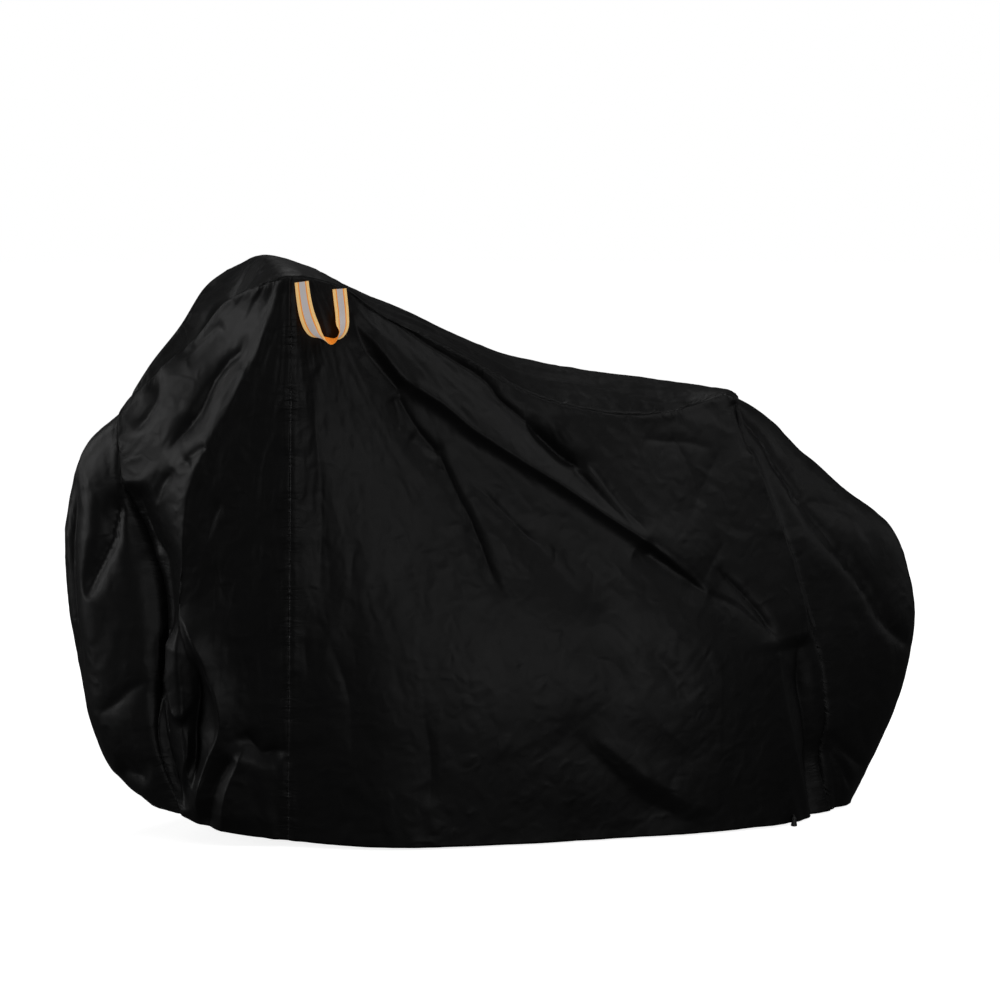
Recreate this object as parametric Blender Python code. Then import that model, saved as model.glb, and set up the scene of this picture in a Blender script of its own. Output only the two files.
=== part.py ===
# Bicycle cover: a hollow tent of thin coated cloth, open at the bottom, as it hangs over
# what it covers. It is sewn from one long middle strip, which runs from the front hem over
# the top to the rear hem, and from two panels on each side. A webbing loop hangs from the
# strip's near seam, and a cord end hangs from the near hem.
#
# The shape is set in a floor frame: x along the length, 0 at the front peak; y across, the
# near side negative; z above the ground. The finished part is moved down, so that its own
# origin is the resting point under the cloth at the front peak.

import bpy
import numpy as np

for old in list(bpy.data.objects):
    bpy.data.objects.remove(old, do_unlink=True)

# ------------------------------------------------------------------ sizes, in metres

CLOTH = 0.0018          # thickness of the coated cloth
HEM_CLOTH = 0.0032      # turned hem, two layers round a flat elastic
HEM_SHARE = 0.022       # share of a side's height that its turned hem takes
SEAM_GAP = 0.0004       # space between two panels along their seam

FRONT_COLUMNS = 12      # grid columns on a front panel
MAIN_COLUMNS = 32       # grid columns on a main panel
SIDE_ROWS = 27          # grid rows from hem to top seam
STRIP_LANES = 8         # grid lanes across the middle strip
LENGTH_STEPS = 400      # steps in which the length of an edge is measured

# The middle strip, from the front hem up and over to the rear hem. Each row is a section
# across it: where its near seam lies, how far the far seam is shifted from the mirrored
# place, where its middle lies, and how round it is across (2 is a parabola, more is flatter).
STRIP_COLUMNS = ("seam_x", "half_width", "seam_z", "far_dx", "far_dz", "mid_x", "mid_z", "round")
STRIP = (
    (-0.188, 0.098, 0.055, 0.000, 0.000, -0.244, 0.062, 2.0),   # front hem
    (-0.217, 0.102, 0.133, 0.000, 0.000, -0.314, 0.120, 2.2),
    (-0.234, 0.103, 0.215, 0.000, 0.000, -0.350, 0.212, 2.3),
    (-0.228, 0.102, 0.310, 0.000, 0.000, -0.371, 0.310, 2.3),
    (-0.219, 0.100, 0.405, 0.000, 0.000, -0.389, 0.405, 2.3),
    (-0.226, 0.092, 0.510, 0.000, 0.000, -0.398, 0.510, 2.3),
    (-0.250, 0.082, 0.590, 0.000, 0.000, -0.397, 0.600, 2.3),
    (-0.281, 0.075, 0.668, 0.006, 0.000, -0.380, 0.680, 2.2),
    (-0.292, 0.072, 0.750, 0.018, -0.004, -0.348, 0.758, 1.9),
    (-0.288, 0.075, 0.826, 0.022, 0.000, -0.286, 0.812, 1.5),   # front corner
    (-0.226, 0.095, 0.896, 0.002, 0.002, -0.184, 0.862, 1.4),
    (-0.150, 0.122, 0.966, -0.012, 0.006, -0.108, 0.930, 1.4),
    (-0.098, 0.170, 1.032, -0.012, 0.012, -0.060, 1.012, 1.6),
    (-0.046, 0.235, 1.064, -0.010, 0.016, -0.030, 1.086, 2.2),
    (0.014, 0.272, 1.082, -0.006, 0.018, 0.000, 1.112, 2.6),    # front peak
    (0.068, 0.245, 1.076, 0.000, 0.010, 0.070, 1.094, 2.2),
    (0.128, 0.222, 1.054, 0.000, 0.004, 0.130, 1.063, 2.0),
    (0.205, 0.200, 1.004, 0.000, 0.002, 0.205, 1.028, 2.0),
    (0.290, 0.190, 0.957, 0.000, 0.000, 0.290, 0.990, 2.0),
    (0.380, 0.182, 0.908, 0.000, 0.000, 0.380, 0.949, 2.0),
    (0.480, 0.180, 0.852, 0.000, 0.000, 0.480, 0.913, 2.0),
    (0.600, 0.180, 0.820, 0.000, 0.000, 0.600, 0.889, 2.0),
    (0.700, 0.162, 0.810, 0.000, 0.000, 0.700, 0.874, 2.0),
    (0.800, 0.125, 0.822, 0.000, 0.000, 0.800, 0.860, 2.0),
    (0.887, 0.090, 0.838, 0.000, 0.000, 0.900, 0.840, 2.4),     # rear peak
    (0.905, 0.102, 0.776, 0.000, -0.030, 0.990, 0.790, 1.8),
    (0.930, 0.116, 0.704, 0.000, -0.040, 1.066, 0.722, 1.7),
    (0.968, 0.128, 0.606, 0.000, -0.034, 1.158, 0.640, 1.7),
    (1.000, 0.135, 0.515, 0.000, -0.010, 1.252, 0.568, 1.8),
    (1.026, 0.140, 0.425, 0.000, 0.000, 1.297, 0.475, 1.8),
    (1.066, 0.142, 0.318, 0.000, 0.000, 1.312, 0.360, 1.9),
    (1.082, 0.142, 0.205, 0.000, 0.000, 1.285, 0.220, 1.9),
    (1.086, 0.138, 0.110, 0.000, 0.000, 1.236, 0.105, 1.9),
    (1.110, 0.122, 0.006, 0.000, 0.000, 1.178, 0.004, 1.9),     # rear hem
)
FRONT_CORNER_ROW = 9
FRONT_PEAK_ROW = 14
REAR_PEAK_ROW = 24
PEAK_TOP = STRIP[FRONT_PEAK_ROW][STRIP_COLUMNS.index("mid_z")]

# The hem of either side, from the middle strip's front edge to its rear edge.
HEM_COLUMNS = ("x", "half_width", "z")
HEM = (
    (-0.188, 0.098, 0.055),
    (-0.140, 0.130, 0.036),
    (-0.068, 0.158, 0.022),
    (0.008, 0.172, 0.013),      # foot of the seam below the front peak
    (0.102, 0.208, 0.008),
    (0.212, 0.236, 0.005),
    (0.400, 0.240, 0.003),
    (0.600, 0.236, 0.003),
    (0.800, 0.232, 0.004),
    (0.930, 0.215, 0.005),
    (1.004, 0.200, 0.005),
    (1.068, 0.168, 0.005),
    (1.110, 0.122, 0.006),
)
PEAK_SEAM_FOOT_ROW = 3

# Broad fullness of the cloth: middle, reach along x and z, and how far it stands out.
FULLNESS_COLUMNS = ("x", "z", "reach_x", "reach_z", "out")
NEAR_FULLNESS = (
    (0.430, 0.320, 0.300, 0.260, 0.030),    # low belly
    (0.800, 0.330, 0.220, 0.200, 0.016),
    (-0.110, 0.560, 0.110, 0.260, 0.022),   # below the front ridge
)
STRIP_FULLNESS = (
    (-0.320, 0.130, 0.060, 0.050, -0.006),  # hollow near its front hem
)
FAR_FULLNESS = (
    (0.430, 0.320, 0.300, 0.260, 0.030),
    (0.800, 0.330, 0.220, 0.200, 0.016),
    (-0.110, 0.520, 0.110, 0.260, 0.020),
)

# Folds of either side. The near ones run on into the strip's near half, and blend out round
# its middle over a width of about MIDDLE_BLEND. Each row: height out of the cloth (negative
# is a valley), how wide the slope is on the left and on the right of the path, as seen
# walking it in a side view with x to the right, the share of the length that fades out at
# either end, and the path's points (x, z).
FOLD_COLUMNS = ("out", "left", "right", "fade", "path")
PATH_STEPS = 60
MIDDLE_BLEND = 0.010
NEAR_FOLDS = (
    # the long ridge from the front peak down the front panel
    (0.042, 0.085, 0.060, 0.10, ((0.004, 1.040), (-0.030, 0.952), (-0.072, 0.860), (-0.119, 0.778),
                                 (-0.160, 0.700), (-0.177, 0.592), (-0.183, 0.450), (-0.186, 0.330))),
    # narrow crease beside that ridge
    (-0.020, 0.024, 0.024, 0.25, ((-0.070, 0.935), (-0.108, 0.912), (-0.128, 0.878), (-0.150, 0.832),
                                  (-0.182, 0.794), (-0.212, 0.750))),
    # fold across the strip, below the front corner
    (-0.024, 0.026, 0.028, 0.25, ((-0.276, 0.690), (-0.288, 0.630), (-0.308, 0.573), (-0.346, 0.492))),
    # deep fold behind the front seam
    (-0.034, 0.026, 0.016, 0.20, ((-0.262, 0.655), (-0.236, 0.575), (-0.212, 0.500), (-0.200, 0.400),
                                  (-0.205, 0.290), (-0.208, 0.205), (-0.186, 0.120))),
    # hanging pouch beside it and the valley that ends it
    (0.022, 0.020, 0.014, 0.20, ((-0.196, 0.430), (-0.190, 0.345), (-0.184, 0.268), (-0.166, 0.258))),
    (-0.022, 0.018, 0.018, 0.25, ((-0.160, 0.390), (-0.152, 0.315), (-0.152, 0.240), (-0.165, 0.170))),
    # ridges that run down to the front hem
    (0.024, 0.024, 0.018, 0.15, ((-0.146, 0.350), (-0.119, 0.246), (-0.132, 0.185), (-0.158, 0.113),
                                 (-0.152, 0.050))),
    (0.014, 0.026, 0.018, 0.20, ((-0.060, 0.190), (-0.082, 0.155), (-0.099, 0.118), (-0.112, 0.050))),
    (-0.010, 0.018, 0.018, 0.25, ((-0.070, 0.205), (-0.033, 0.179), (0.010, 0.176))),
    # broad roll from the front peak down and back, with a valley above and one below it
    (0.022, 0.040, 0.045, 0.12, ((0.110, 1.030), (0.222, 0.944), (0.353, 0.848), (0.487, 0.752),
                                 (0.584, 0.656), (0.668, 0.572))),
    (-0.014, 0.036, 0.034, 0.30, ((0.170, 1.022), (0.300, 0.952), (0.385, 0.900), (0.478, 0.815),
                                  (0.582, 0.712), (0.690, 0.572))),
    (-0.020, 0.038, 0.036, 0.35, ((0.452, 0.836), (0.525, 0.770), (0.590, 0.708))),
    (-0.012, 0.036, 0.036, 0.30, ((0.205, 0.880), (0.300, 0.802), (0.449, 0.696), (0.603, 0.598),
                                  (0.682, 0.553))),
    # ridge that falls from the roll to the low belly, and the valley in front of it
    (0.018, 0.040, 0.028, 0.15, ((0.205, 0.872), (0.276, 0.775), (0.332, 0.690), (0.372, 0.595),
                                 (0.404, 0.489), (0.486, 0.313))),
    (-0.016, 0.040, 0.045, 0.18, ((0.165, 0.880), (0.226, 0.757), (0.274, 0.663), (0.312, 0.560),
                                  (0.350, 0.430))),
    # creases that carry the roll on towards the rear hem
    (-0.014, 0.034, 0.036, 0.20, ((0.655, 0.575), (0.740, 0.508), (0.800, 0.474), (0.868, 0.426),
                                  (0.935, 0.360))),
    (-0.009, 0.034, 0.034, 0.30, ((0.868, 0.580), (0.838, 0.530), (0.804, 0.478))),
    (0.009, 0.040, 0.040, 0.30, ((0.755, 0.760), (0.766, 0.680), (0.770, 0.590))),
    # hollow ahead of the rear seam
    (-0.028, 0.036, 0.050, 0.25, ((0.946, 0.390), (0.972, 0.262), (1.000, 0.165), (1.036, 0.060))),
    # trough and ridge at the foot of the belly
    (-0.018, 0.044, 0.044, 0.22, ((0.520, 0.250), (0.599, 0.158), (0.678, 0.096), (0.780, 0.036))),
    (0.014, 0.040, 0.034, 0.22, ((0.582, 0.236), (0.690, 0.140), (0.810, 0.062))),
    # second crease behind the rear peak, which opens into a soft valley
    (-0.012, 0.030, 0.030, 0.15, ((0.915, 0.810), (0.950, 0.751), (1.023, 0.648), (1.090, 0.545),
                                  (1.160, 0.462))),
    (-0.018, 0.050, 0.045, 0.25, ((1.090, 0.560), (1.160, 0.462), (1.215, 0.380), (1.275, 0.310))),
    # gathers at the foot of the rear seam
    (-0.014, 0.024, 0.024, 0.20, ((1.092, 0.170), (1.100, 0.090), (1.118, 0.004))),
    (-0.012, 0.024, 0.024, 0.20, ((1.160, 0.160), (1.150, 0.090), (1.142, 0.004))),
)
FAR_FOLDS = (
    (0.036, 0.090, 0.060, 0.10, ((0.004, 1.040), (-0.034, 0.940), (-0.090, 0.820), (-0.150, 0.690),
                                 (-0.170, 0.560), (-0.176, 0.380))),
    (-0.012, 0.030, 0.034, 0.25, ((-0.210, 0.600), (-0.180, 0.470), (-0.172, 0.330), (-0.176, 0.180))),
    (0.020, 0.045, 0.045, 0.15, ((0.120, 1.000), (0.250, 0.880), (0.400, 0.740), (0.520, 0.600))),
    (-0.014, 0.035, 0.035, 0.20, ((0.150, 0.900), (0.260, 0.740), (0.350, 0.570), (0.390, 0.380))),
    (-0.014, 0.035, 0.035, 0.20, ((0.300, 0.930), (0.440, 0.800), (0.560, 0.660), (0.680, 0.520))),
    (0.014, 0.040, 0.040, 0.20, ((0.850, 0.760), (0.780, 0.560), (0.740, 0.360))),
    (-0.022, 0.035, 0.040, 0.20, ((0.955, 0.420), (0.985, 0.280), (1.020, 0.120))),
    (-0.016, 0.034, 0.030, 0.22, ((0.450, 0.260), (0.540, 0.150), (0.640, 0.050))),
)

# The hanging loop of webbing. Each row: where its middle line lies in the side view, how far
# off the cloth it is, and by how many degrees the webbing's inner edge is turned outward. It
# lies flat at both ends, and shows its back at the foot, where its inner edge hangs lower.
LOOP_WIDTH = 0.029
LOOP_THICK = 0.0016
LOOP_COLUMNS = ("x", "z", "off", "turn")
LOOP = (
    (0.0320, 1.070, 0.0029, 0.0),
    (0.0335, 1.045, 0.0058, 4.0),
    (0.0365, 1.014, 0.0110, 16.0),
    (0.0420, 0.990, 0.0165, 38.0),
    (0.0520, 0.970, 0.0205, 74.0),
    (0.0730, 0.959, 0.0190, 116.0),     # foot of the loop
    (0.0950, 0.966, 0.0200, 86.0),
    (0.1030, 0.984, 0.0150, 46.0),
    (0.1050, 1.008, 0.0080, 18.0),
    (0.1050, 1.032, 0.0042, 4.0),
    (0.1040, 1.053, 0.0020, 0.0),
)
LOOP_STEPS = 36
FITTED_POINTS = 5

# The cord end at the near hem: distance out from the hem's face, drop, and radius.
TOGGLE_X = 0.998
TOGGLE_TOP = 0.0205
TOGGLE_COLUMNS = ("out", "drop", "radius")
TOGGLE = (
    (0.0008, 0.0000, 0.0015),
    (0.0050, 0.0000, 0.0015),
    (0.0078, 0.0008, 0.0016),
    (0.0090, 0.0030, 0.0030),
    (0.0090, 0.0045, 0.0042),
    (0.0090, 0.0090, 0.0047),
    (0.0090, 0.0150, 0.0056),
    (0.0090, 0.0188, 0.0062),
    (0.0090, 0.0200, 0.0050),
)
TOGGLE_SIDES = 14

# ------------------------------------------------------------------ colours and finish

CLOTH_BLACK = (0.016, 0.016, 0.017)
STRIP_BLACK = (0.020, 0.020, 0.021)
WEBBING_ORANGE = (0.86, 0.20, 0.02)
TOGGLE_BLACK = (0.020, 0.020, 0.020)
CLOTH_ROUGHNESS = 0.5
WEBBING_ROUGHNESS = 0.7
TOGGLE_ROUGHNESS = 0.4
SMOOTH_ANGLE = 60       # degrees up to which an edge is shaded smooth

# ------------------------------------------------------------------ curves and surfaces


def by_name(names, rows):
    """The columns of a table of numbers, each under its own name."""
    return dict(zip(names, np.asarray(rows, float).T))


def spline(rows, at):
    """Smooth curve through the rows of a table, read at fractional row numbers."""
    rows = np.asarray(rows, float)
    at = np.asarray(at, float)
    last = len(rows) - 1
    index = np.clip(at.astype(int), 0, last - 1)
    step = (at - index)[:, None]

    def row(offset):
        return rows[np.clip(index + offset, 0, last)]

    before, start, end, after = row(-1), row(0), row(1), row(2)
    return 0.5 * (2 * start + (end - before) * step
                  + (2 * before - 5 * start + 4 * end - after) * step ** 2
                  + (3 * start - before - 3 * end + after) * step ** 3)


def rows_at_lengths(points, first, last, shares):
    """Row numbers between two rows that lie at the given shares of the curve's length."""
    fine = np.linspace(first, last, LENGTH_STEPS + 1)
    curve = spline(points, fine)
    length = np.r_[0, np.cumsum(np.linalg.norm(np.diff(curve, axis=0), axis=1))]
    return np.interp(np.asarray(shares) * length[-1], length, fine)


def patch(hem, top, front, rear, across, up):
    """Surface between four edge curves: each edge is kept, and the inside blends them."""
    u = across[:, None, None]
    v = up[None, :, None]
    between_hem_and_top = (1 - v) * hem[:, None] + v * top[:, None]
    between_front_and_rear = (1 - u) * front[None] + u * rear[None]
    corners = ((1 - u) * (1 - v) * hem[0] + u * (1 - v) * hem[-1]
               + (1 - u) * v * top[0] + u * v * top[-1])
    return between_hem_and_top + between_front_and_rear - corners


def fold_height(points, fold):
    """Height that one fold gives to each point, from its distance to the fold's path."""
    out, left, right, fade, path = (fold[name] for name in FOLD_COLUMNS)
    fine = spline(path, np.linspace(0, len(path) - 1, PATH_STEPS + 1))
    step = np.diff(fine, axis=0)
    length = np.linalg.norm(step, axis=1)
    start = fine[:-1]
    reach = points[..., None, :] - start
    along = np.clip((reach * step).sum(-1) / length ** 2, 0, 1)
    away = reach - along[..., None] * step
    distance = np.linalg.norm(away, axis=-1)
    nearest = distance.argmin(-1)[..., None]
    distance = np.take_along_axis(distance, nearest, -1)[..., 0]
    turn = step[..., 0] * reach[..., 1] - step[..., 1] * reach[..., 0]
    on_left = np.take_along_axis(turn, nearest, -1)[..., 0] > 0
    share = (np.take_along_axis(along, nearest, -1)[..., 0] + nearest[..., 0]) / len(step)
    end = np.clip(np.minimum(share, 1 - share) / fade, 0, 1)
    slope = np.where(on_left, left, right)
    return out * end * end * (3 - 2 * end) * np.exp(-(distance / slope) ** 2)


def relief(points, fullness, folds):
    """Height out of the plain surface at each point of one side.

    The fullness adds up. Of the ridges that meet in a point the highest counts, and of the
    valleys the deepest, so that folds run into each other without piling up.
    """
    flat = points[..., [0, 2]]
    height = np.zeros(flat.shape[:-1])
    for row in fullness:
        full = dict(zip(FULLNESS_COLUMNS, row))
        height += full["out"] * np.exp(-((flat[..., 0] - full["x"]) / full["reach_x"]) ** 2
                                       - ((flat[..., 1] - full["z"]) / full["reach_z"]) ** 2)
    heights = np.array([fold_height(flat, dict(zip(FOLD_COLUMNS, row))) for row in folds])
    return height + heights.max(0).clip(min=0) + heights.min(0).clip(max=0)


def normals(grid):
    """Unit normals of a grid of points, by its steps along both of its ways."""
    cross = np.cross(np.gradient(grid, axis=0), np.gradient(grid, axis=1))
    return cross / np.linalg.norm(cross, axis=-1, keepdims=True)


def border(side):
    """A side grid's front, top and rear edges, in the order of the strip's sections."""
    return np.concatenate([side[0], side[1:, -1], side[-1, -2::-1]])


def set_border(side, values):
    """Writes values in the strip's order to a side grid's front, top and rear edges."""
    rows = side.shape[1]
    columns = side.shape[0]
    side[0] = values[:rows]
    side[1:, -1] = values[rows:rows + columns - 1]
    side[-1, -2::-1] = values[rows + columns - 1:]


def joined_normals(cover):
    """Outward normals of the three grids, with the mean of both sheets along each seam."""
    facing = {"near": normals(cover["near"]), "strip": normals(cover["strip"]),
              "far": -normals(cover["far"])}
    for name, lane in (("near", 0), ("far", -1)):
        mean = border(facing[name]) + facing["strip"][:, lane]
        mean /= np.linalg.norm(mean, axis=-1, keepdims=True)
        set_border(facing[name], mean)
        facing["strip"][:, lane] = mean
    return facing


# ------------------------------------------------------------------ the cover's surface

across_front = np.linspace(0, 1, FRONT_COLUMNS + 1)
across_main = np.linspace(0, 1, MAIN_COLUMNS + 1)
up_side = np.r_[0, np.linspace(HEM_SHARE, 1, SIDE_ROWS)]


def strip_rows():
    """Fractional table rows of all the strip's sections, spaced along its near seam."""
    at = by_name(STRIP_COLUMNS, STRIP)
    seam = np.stack([at["seam_x"], -at["half_width"], at["seam_z"]], -1)
    front = rows_at_lengths(seam, 0, FRONT_CORNER_ROW, up_side)
    ridge = rows_at_lengths(seam, FRONT_CORNER_ROW, FRONT_PEAK_ROW, across_front)
    top = rows_at_lengths(seam, FRONT_PEAK_ROW, REAR_PEAK_ROW, across_main)
    rear = rows_at_lengths(seam, REAR_PEAK_ROW, len(STRIP) - 1, 1 - up_side[::-1])
    return np.concatenate([front, ridge[1:], top[1:], rear[1:]])


def strip_grid():
    """The middle strip: each half falls from the middle to its seam by a power curve."""
    sections = spline(STRIP, strip_rows())[:, :, None]
    at = dict(zip(STRIP_COLUMNS, sections.transpose(1, 0, 2)))
    lanes = np.linspace(-1, 1, STRIP_LANES + 1)
    far = lanes > 0
    fall = np.abs(lanes) ** at["round"]
    end_x = at["seam_x"] + at["far_dx"] * far
    end_z = at["seam_z"] + at["far_dz"] * far
    x = at["mid_x"] + (end_x - at["mid_x"]) * fall
    z = at["mid_z"] + (end_z - at["mid_z"]) * fall
    return np.stack([x, at["half_width"] * lanes, z], -1)


def side_grid(seam, way):
    """One side, front panel and main panel together, hung between its seams and its hem."""
    rows = len(up_side)
    at = by_name(HEM_COLUMNS, HEM)
    hem_line = np.stack([at["x"], way * at["half_width"], at["z"]], -1)
    foot = PEAK_SEAM_FOOT_ROW
    front_hem = spline(hem_line, rows_at_lengths(hem_line, 0, foot, across_front))
    main_hem = spline(hem_line, rows_at_lengths(hem_line, foot, len(HEM) - 1, across_main))
    front_seam = seam[:rows]
    ridge = seam[rows - 1:rows + FRONT_COLUMNS]
    top = seam[rows - 1 + FRONT_COLUMNS:rows + FRONT_COLUMNS + MAIN_COLUMNS]
    rear_seam = seam[rows - 1 + FRONT_COLUMNS + MAIN_COLUMNS:][::-1]
    peak_seam = ridge[-1] * up_side[:, None] + front_hem[-1] * (1 - up_side[:, None])
    front = patch(front_hem, ridge, front_seam, peak_seam, across_front, up_side)
    main = patch(main_hem, top, peak_seam, rear_seam, across_main, up_side)
    return np.concatenate([front, main[1:]])


def cover_surface():
    """The outer surface of the whole cover, as three grids that share their seam points."""
    strip = strip_grid()
    cover = {"strip": strip,
             "near": side_grid(strip[:, 0], -1),
             "far": side_grid(strip[:, -1], 1)}
    facing = joined_normals(cover)
    near_half = 1 / (1 + np.exp(cover["strip"][..., 1] / MIDDLE_BLEND))
    height = {"near": relief(cover["near"], NEAR_FULLNESS, NEAR_FOLDS),
              "far": relief(cover["far"], FAR_FULLNESS, FAR_FOLDS),
              "strip": relief(cover["strip"], STRIP_FULLNESS, NEAR_FOLDS) * near_half}
    for name, lane in (("near", 0), ("far", -1)):
        at_seam = 0.5 * border(height[name])
        set_border(height[name], at_seam)
        height["strip"][:, lane] = at_seam
    return {name: cover[name] + facing[name] * height[name][..., None] for name in cover}


# ------------------------------------------------------------------ closed solids


def add_object(name, vertices, faces, colour, roughness):
    """One named closed solid with its own material, moved to the part's own origin."""
    mesh = bpy.data.meshes.new(name)
    placed = np.asarray(vertices, float) - (0, 0, PEAK_TOP - CLOTH)
    mesh.from_pydata(placed.tolist(), [], faces)
    mesh.update()
    mesh.shade_smooth()
    mesh.set_sharp_from_angle(angle=np.radians(SMOOTH_ANGLE))
    material = bpy.data.materials.new(name)
    material.use_nodes = True
    shader = material.node_tree.nodes["Principled BSDF"]
    shader.inputs["Base Color"].default_value = (*colour, 1)
    shader.inputs["Roughness"].default_value = roughness
    shader.inputs["Metallic"].default_value = 0.0
    mesh.materials.append(material)
    piece = bpy.data.objects.new(name, mesh)
    bpy.context.scene.collection.objects.link(piece)
    return piece


def inward(edge, beside, facing):
    """Unit direction in the sheet, square to its edge, from the edge to the inside."""
    run = np.gradient(edge, axis=0)
    square = np.cross(run, facing)
    square /= np.linalg.norm(square, axis=-1, keepdims=True)
    return square * np.sign(((beside - edge) * square).sum(-1, keepdims=True))


def sheet_solid(name, outer, facing, sewn, thick, flip, colour):
    """A panel of cloth: its outer grid, an inner grid behind it, and a rim between them.

    sewn names the edges that meet another panel and are drawn in by half a seam gap:
    "first" and "last" along the grid's first way, "low" and "high" along its second.
    """
    move = np.zeros_like(outer)
    edges = {"first": (np.s_[0], np.s_[1]), "last": (np.s_[-1], np.s_[-2]),
             "low": (np.s_[:, 0], np.s_[:, 1]), "high": (np.s_[:, -1], np.s_[:, -2])}
    for edge_name in sewn:
        edge, beside = edges[edge_name]
        move[edge] += inward(outer[edge], outer[beside], facing[edge]) * SEAM_GAP / 2
    inner = outer - facing * thick[..., None] + move
    outer = outer + move
    columns, rows = outer.shape[:2]
    index = np.arange(columns * rows).reshape(columns, rows)
    under = index + columns * rows
    a, b, c, d = index[:-1, :-1], index[1:, :-1], index[1:, 1:], index[:-1, 1:]
    top = np.concatenate([np.stack([a, b, c], -1).reshape(-1, 3),
                          np.stack([a, c, d], -1).reshape(-1, 3)])
    bottom = top[:, ::-1] + columns * rows
    loop = np.concatenate([index[:-1, 0], index[-1, :-1], index[:0:-1, -1], index[0, :0:-1]])
    following = np.roll(loop, -1)
    below = under.reshape(-1)
    rim = np.concatenate([np.stack([loop, below[loop], below[following]], -1),
                          np.stack([loop, below[following], following], -1)])
    faces = np.concatenate([top, bottom, rim])
    if flip:
        faces = faces[:, ::-1]
    vertices = np.concatenate([outer.reshape(-1, 3), inner.reshape(-1, 3)])
    return add_object(name, vertices, faces.tolist(), colour, CLOTH_ROUGHNESS)


def swept_solid(name, rings, colour, roughness):
    """A closed solid through a row of rings of points, with both ends filled."""
    rings = np.asarray(rings)
    count, sides = rings.shape[:2]
    faces = []
    for ring in range(count - 1):
        for side in range(sides):
            here = ring * sides + side
            beside = ring * sides + (side + 1) % sides
            faces.append((here, beside, beside + sides))
            faces.append((here, beside + sides, here + sides))
    faces.append(tuple(range(sides))[::-1])
    faces.append(tuple(range((count - 1) * sides, count * sides)))
    return add_object(name, rings.reshape(-1, 3), faces, colour, roughness)


def build_panels(cover, facing):
    """The five panels of cloth."""
    split = FRONT_COLUMNS
    side_thick = np.where(np.arange(len(up_side)) < 2, HEM_CLOTH, CLOTH)
    side_thick = np.broadcast_to(side_thick, cover["near"].shape[:2])
    section = np.arange(cover["strip"].shape[0])
    at_hem = np.minimum(section, section[::-1]) < 2
    strip_thick = np.broadcast_to(np.where(at_hem, HEM_CLOTH, CLOTH)[:, None],
                                  cover["strip"].shape[:2])
    sheet_solid("middle_strip", cover["strip"], facing["strip"], ("low", "high"),
                strip_thick, False, STRIP_BLACK)
    for side, flip in (("near", False), ("far", True)):
        for part, columns, sewn in (("front", np.s_[:split + 1], ("first", "last", "high")),
                                    ("main", np.s_[split:], ("first", "last", "high"))):
            sheet_solid(side + "_" + part + "_panel", cover[side][columns], facing[side][columns],
                        sewn, side_thick[columns], flip, CLOTH_BLACK)


def on_cloth(near, x, z):
    """Points and outward normals of the near side's cloth at places of the side view.

    The plane that fits the grid points nearest to a place best gives both.
    """
    points = near.reshape(-1, 3)
    gap = np.hypot(points[:, 0] - x[:, None], points[:, 2] - z[:, None])
    base = points[np.argsort(gap, axis=1)[:, :FITTED_POINTS]]
    flat = np.stack([np.ones(base.shape[:2]), base[..., 0] - x[:, None],
                     base[..., 2] - z[:, None]], -1)
    y, rise_x, rise_z = (np.linalg.pinv(flat) @ base[..., 1:2])[..., 0].T
    way = np.stack([rise_x, -np.ones_like(y), rise_z], -1)
    return np.stack([x, y, z], -1), way / np.linalg.norm(way, axis=1, keepdims=True)


def build_loop(near):
    """The webbing loop: a flat band along its row of places, off the near side's cloth."""
    at = by_name(LOOP_COLUMNS, spline(LOOP, np.linspace(0, len(LOOP) - 1, LOOP_STEPS + 1)))
    spots, ways = on_cloth(near, at["x"], at["z"])
    share = np.linspace(0, 1, LOOP_STEPS + 1)[:, None]
    outward = (1 - share) * ways[0] + share * ways[-1]
    outward /= np.linalg.norm(outward, axis=1, keepdims=True)
    places = spots + outward * at["off"][:, None]
    run = np.gradient(places, axis=0)
    run /= np.linalg.norm(run, axis=1, keepdims=True)
    flat = np.cross(outward, run)
    flat /= np.linalg.norm(flat, axis=1, keepdims=True)
    face = np.cross(run, flat)
    angle = np.radians(at["turn"])[:, None]
    wide = flat * np.cos(angle) + face * np.sin(angle)
    thick = np.cross(run, wide)
    half = wide * LOOP_WIDTH / 2
    deep = thick * LOOP_THICK / 2
    rings = np.stack([places - half - deep, places + half - deep,
                      places + half + deep, places - half + deep], 1)
    return swept_solid("hang_loop", rings, WEBBING_ORANGE, WEBBING_ROUGHNESS)


def build_toggle(near):
    """The moulded cord end: a bell on a short end of cord that leaves the hem's face."""
    hem = near[:, 1]
    y = np.interp(TOGGLE_X, hem[:, 0], hem[:, 1])
    at = by_name(TOGGLE_COLUMNS, TOGGLE)
    spine = np.stack([np.full(len(TOGGLE), TOGGLE_X), y - at["out"], TOGGLE_TOP - at["drop"]], -1)
    run = np.gradient(spine, axis=0)
    run /= np.linalg.norm(run, axis=1, keepdims=True)
    sideways = np.array([1.0, 0.0, 0.0])
    other = np.cross(run, sideways)
    angle = np.linspace(0, 2 * np.pi, TOGGLE_SIDES, endpoint=False)
    circle = (np.cos(angle)[None, :, None] * sideways
              + np.sin(angle)[None, :, None] * other[:, None])
    rings = spine[:, None] + circle * at["radius"][:, None, None]
    return swept_solid("drawcord_toggle", rings, TOGGLE_BLACK, TOGGLE_ROUGHNESS)


cover = cover_surface()
facing = joined_normals(cover)
build_panels(cover, facing)
build_loop(cover["near"])
build_toggle(cover["near"])
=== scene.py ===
import math

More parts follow.
